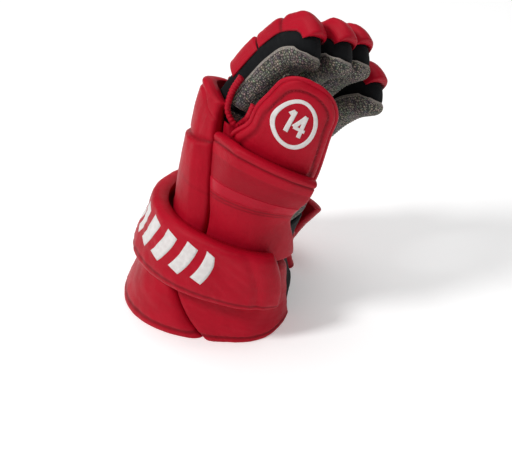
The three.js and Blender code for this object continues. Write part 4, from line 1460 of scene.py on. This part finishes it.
corner_points = np.vstack(
    [thumb_face(beside, along, BINDING_RADIUS) for along in PIPING_ON_THUMB]
    + [shell(turn, height, BINDING_LIFT) for turn, height in PIPING_ON_BAG]
    + [fingers["index"].point(along, around, BINDING_LIFT) for along, around in PIPING_ON_INDEX]
)
path = smooth_path(corner_points, 260)
gathered = PIPING_RADIUS + GATHER_DEPTH * np.sin(run_along(path) * math.tau / GATHER)
cord = tube(path, np.array([[0, -1.0, 0.2]]), gathered)
piece = make_piece("thumb_piping", cord, RED_BINDING, ("thumb_binding",))

# Crotch: a sheet that closes the way from the piping down to the hand bag and the thumb
CROTCH_POINTS = 60
CROTCH_TOP_ON_THUMB = (98, 90)
CROTCH_ON_THUMB = (76, 64)
CROTCH_ON_BAG = ((150, 167), (140, 175), (128, 182))
CROTCH_LIFT = 5
crotch_top = smooth_path(
    np.vstack(
        [thumb_face(beside, along, BINDING_RADIUS) for along in CROTCH_TOP_ON_THUMB]
        + [shell(turn, height, BINDING_LIFT - 1) for turn, height in PIPING_ON_BAG]
    ),
    CROTCH_POINTS,
)
crotch_foot = smooth_path(
    np.vstack(
        [thumb_face(beside, along, 0) for along in CROTCH_ON_THUMB]
        + [shell(turn, height, CROTCH_LIFT) for turn, height in CROTCH_ON_BAG]
    ),
    CROTCH_POINTS,
)


def between(u, v):
    """A point of the ruled sheet from the foot to the piping."""
    at = np.linspace(0, 1, CROTCH_POINTS)
    foot = on_path(u, at, crotch_foot)
    top = on_path(u, at, crotch_top)
    return mix(foot, top, v[..., None])


def crotch_base(u, v, lift):
    """The ruled sheet, moved out by lift along its normal, which is the cross product of its steps."""
    u, v, lift = same_shape(u, v, lift)
    step = 0.02
    along = between(np.minimum(u + step, 1), v) - between(np.maximum(u - step, 0), v)
    up = between(u, v + step) - between(u, v - step)
    return between(u, v) + unit(np.cross(along, up)) * lift[..., None]


crotch = Pad(crotch_base, 1.4, rest=-0.7, edge=1.5, crown=0)
sheet_piece("crotch_web", crotch, RED_NYLON, "red nylon", rests_on=["thumb_piping", "bag_cloth"])

# Piping along the thumb's pad, half way up its edge
PIPING_HEIGHT = REST + 0.5 * THUMB_PAD_THICK
PIPED_SIDE = np.linspace(0.02, 1, 80)
PIPED_TOP = np.linspace(0, 1, 40)[1:-1]
outline_u = np.concatenate([np.zeros_like(PIPED_SIDE), PIPED_TOP, np.ones_like(PIPED_SIDE)])
outline_v = np.concatenate([PIPED_SIDE, np.ones_like(PIPED_TOP), PIPED_SIDE[::-1]])
outline = tongue(outline_u, outline_v, PIPING_HEIGHT)
outward = tongue(outline_u, outline_v, PIPING_HEIGHT + 1) - outline
piece = make_piece("thumb_pad_piping", tube(outline, outward, PAD_PIPING), RED_BINDING)

# Prints: a row of slanted bars on the roll, and a ring with a plain size number on the thumb
BAR_SHARES = (0.27, 0.83)  # foot and top of a bar as shares of the roll's height
BAR_COUNT = 15
BAR_PITCH = 15.5
BAR_SLANT = 15.0
BAR_WIDTH = 8.0
LAST_BAR = 0.805
RING = (15.5, 22.0)  # taller than wide: the pad leans away from the camera
RING_WIDTH = 3.6
RING_AT = (0.46, 0.563)
NUMBER_WIDTH = 3.2
NUMBER_LIFT = 0.26
NUMBER_LINES = [
    [(-7, 6), (-4, 11), (-4, -11)],
    [(5.5, -11), (5.5, 11), (-0.5, -3.5), (8.5, -3.5)],
]
bars = []
for bar in range(BAR_COUNT):
    middle = roll.width * LAST_BAR - BAR_PITCH * bar
    y = np.linspace(*BAR_SHARES, 30) * roll.height
    bars.append((np.stack([middle + BAR_SLANT * (y / roll.height - 0.5) * 2, y], axis=-1), False))
make_piece("roll_print", print_on(roll, bars, BAR_WIDTH), WHITE_PRINT)

ring_middle = np.array([thumb_cover.width * RING_AT[0], thumb_cover.height * RING_AT[1]])
turn = np.linspace(0, math.tau, 97)[:-1]
ring = ring_middle + np.stack([RING[0] * np.cos(turn), RING[1] * np.sin(turn)], axis=-1)
make_piece("thumb_print", print_on(thumb_cover, [(ring, True)], RING_WIDTH), WHITE_PRINT)

share = np.linspace(0, 1, 14)[:, None]
strokes = [
    (ring_middle + mix(np.array(start), np.array(end), share), False)
    for points in NUMBER_LINES
    for start, end in zip(points[:-1], points[1:])
]
number = print_on(thumb_cover, strokes, NUMBER_WIDTH, NUMBER_LIFT)
make_piece("size_number", number, WHITE_PRINT)

# Floor, light and camera
FLOOR_REACH = 6
ROOM_LIGHT = 0.25
CAMERA_AZIMUTH = 8.46
CAMERA_ELEVATION = 32.73
CAMERA_DISTANCE = 1.3
LENS = 96.2
SENSOR = 36
LOOK_AT = Vector((0.0018, 0.0087, 0.1158))
AIM_RIGHT = 0.00285  # the glove's middle lies left of and above the picture's
AIM_DOWN = 0.0432


def floor():
    """A lit white sweep: a little light of its own keeps it white round the shadow."""
    corners = [(-1, -1), (1, -1), (1, 1), (-1, 1)]
    mesh = bpy.data.meshes.new("floor")
    mesh.from_pydata([(x * FLOOR_REACH, y * FLOOR_REACH, 0) for x, y in corners], [], [(0, 1, 2, 3)])
    paper = {"Base Color": linear("FBFBFB"), "Roughness": 0.9}
    glow = {"Emission Color": (1, 1, 1, 1), "Emission Strength": 0.26}
    material, _, _ = new_material("white paper", {**paper, **glow})
    mesh.materials.append(material)
    ground = bpy.data.objects.new("floor", mesh)
    bpy.context.scene.collection.objects.link(ground)


def area_light(name, place, size, power):
    """A round white lamp that faces the glove, with its size in metres and its power in watts."""
    light = bpy.data.lights.new(name, "AREA")
    light.shape = "DISK"
    light.size = size
    light.energy = power
    lamp = bpy.data.objects.new(name, light)
    lamp.location = place
    lamp.rotation_euler = (LOOK_AT - Vector(place)).to_track_quat("-Z", "Y").to_euler()
    bpy.context.scene.collection.objects.link(lamp)


def studio():
    """A white room: full white to the camera, dimmer as a light, so that the floor stays white and the
    glove isn't washed out."""
    world = bpy.data.worlds.new("studio")
    world.use_nodes = True
    tree = world.node_tree
    tree.nodes.clear()
    seen = node(tree, "LightPath").outputs["Is Camera Ray"]
    strength = node(tree, "MapRange", None, {"Value": seen, "To Min": ROOM_LIGHT, "To Max": 1.0})
    white = {"Color": (1, 1, 1, 1), "Strength": strength.outputs[0]}
    room = node(tree, "Background", None, white)
    node(tree, "OutputWorld", None, {"Surface": room.outputs[0]})
    bpy.context.scene.world = world


def photo_camera():
    """A long lens in front of and above the glove, level, aimed a little beside it."""
    azimuth, elevation = math.radians(CAMERA_AZIMUTH), math.radians(CAMERA_ELEVATION)
    right = Vector((math.cos(azimuth), math.sin(azimuth), 0))
    front = Vector((math.sin(azimuth), -math.cos(azimuth), 0))
    back = math.cos(elevation) * front + Vector((0, 0, math.sin(elevation)))
    eye = LOOK_AT + CAMERA_DISTANCE * back
    aim = LOOK_AT + AIM_RIGHT * right - AIM_DOWN * back.cross(right)
    lens = bpy.data.cameras.new("camera")
    lens.lens = LENS
    lens.sensor_width = SENSOR
    lens.clip_end = 30
    camera = bpy.data.objects.new("camera", lens)
    camera.location = eye
    camera.rotation_euler = (aim - eye).to_track_quat("-Z", "Y").to_euler()
    bpy.context.scene.collection.objects.link(camera)
    bpy.context.scene.camera = camera


floor()
area_light("key", (-1.5, -1.0, 2.1), 0.6, 38)
area_light("fill", (1.6, -1.3, 1.0), 1.4, 1.5)
area_light("top", (0.1, 0.4, 2.0), 1.4, 13)
studio()
photo_camera()
bpy.context.scene.view_settings.view_transform = "Standard"
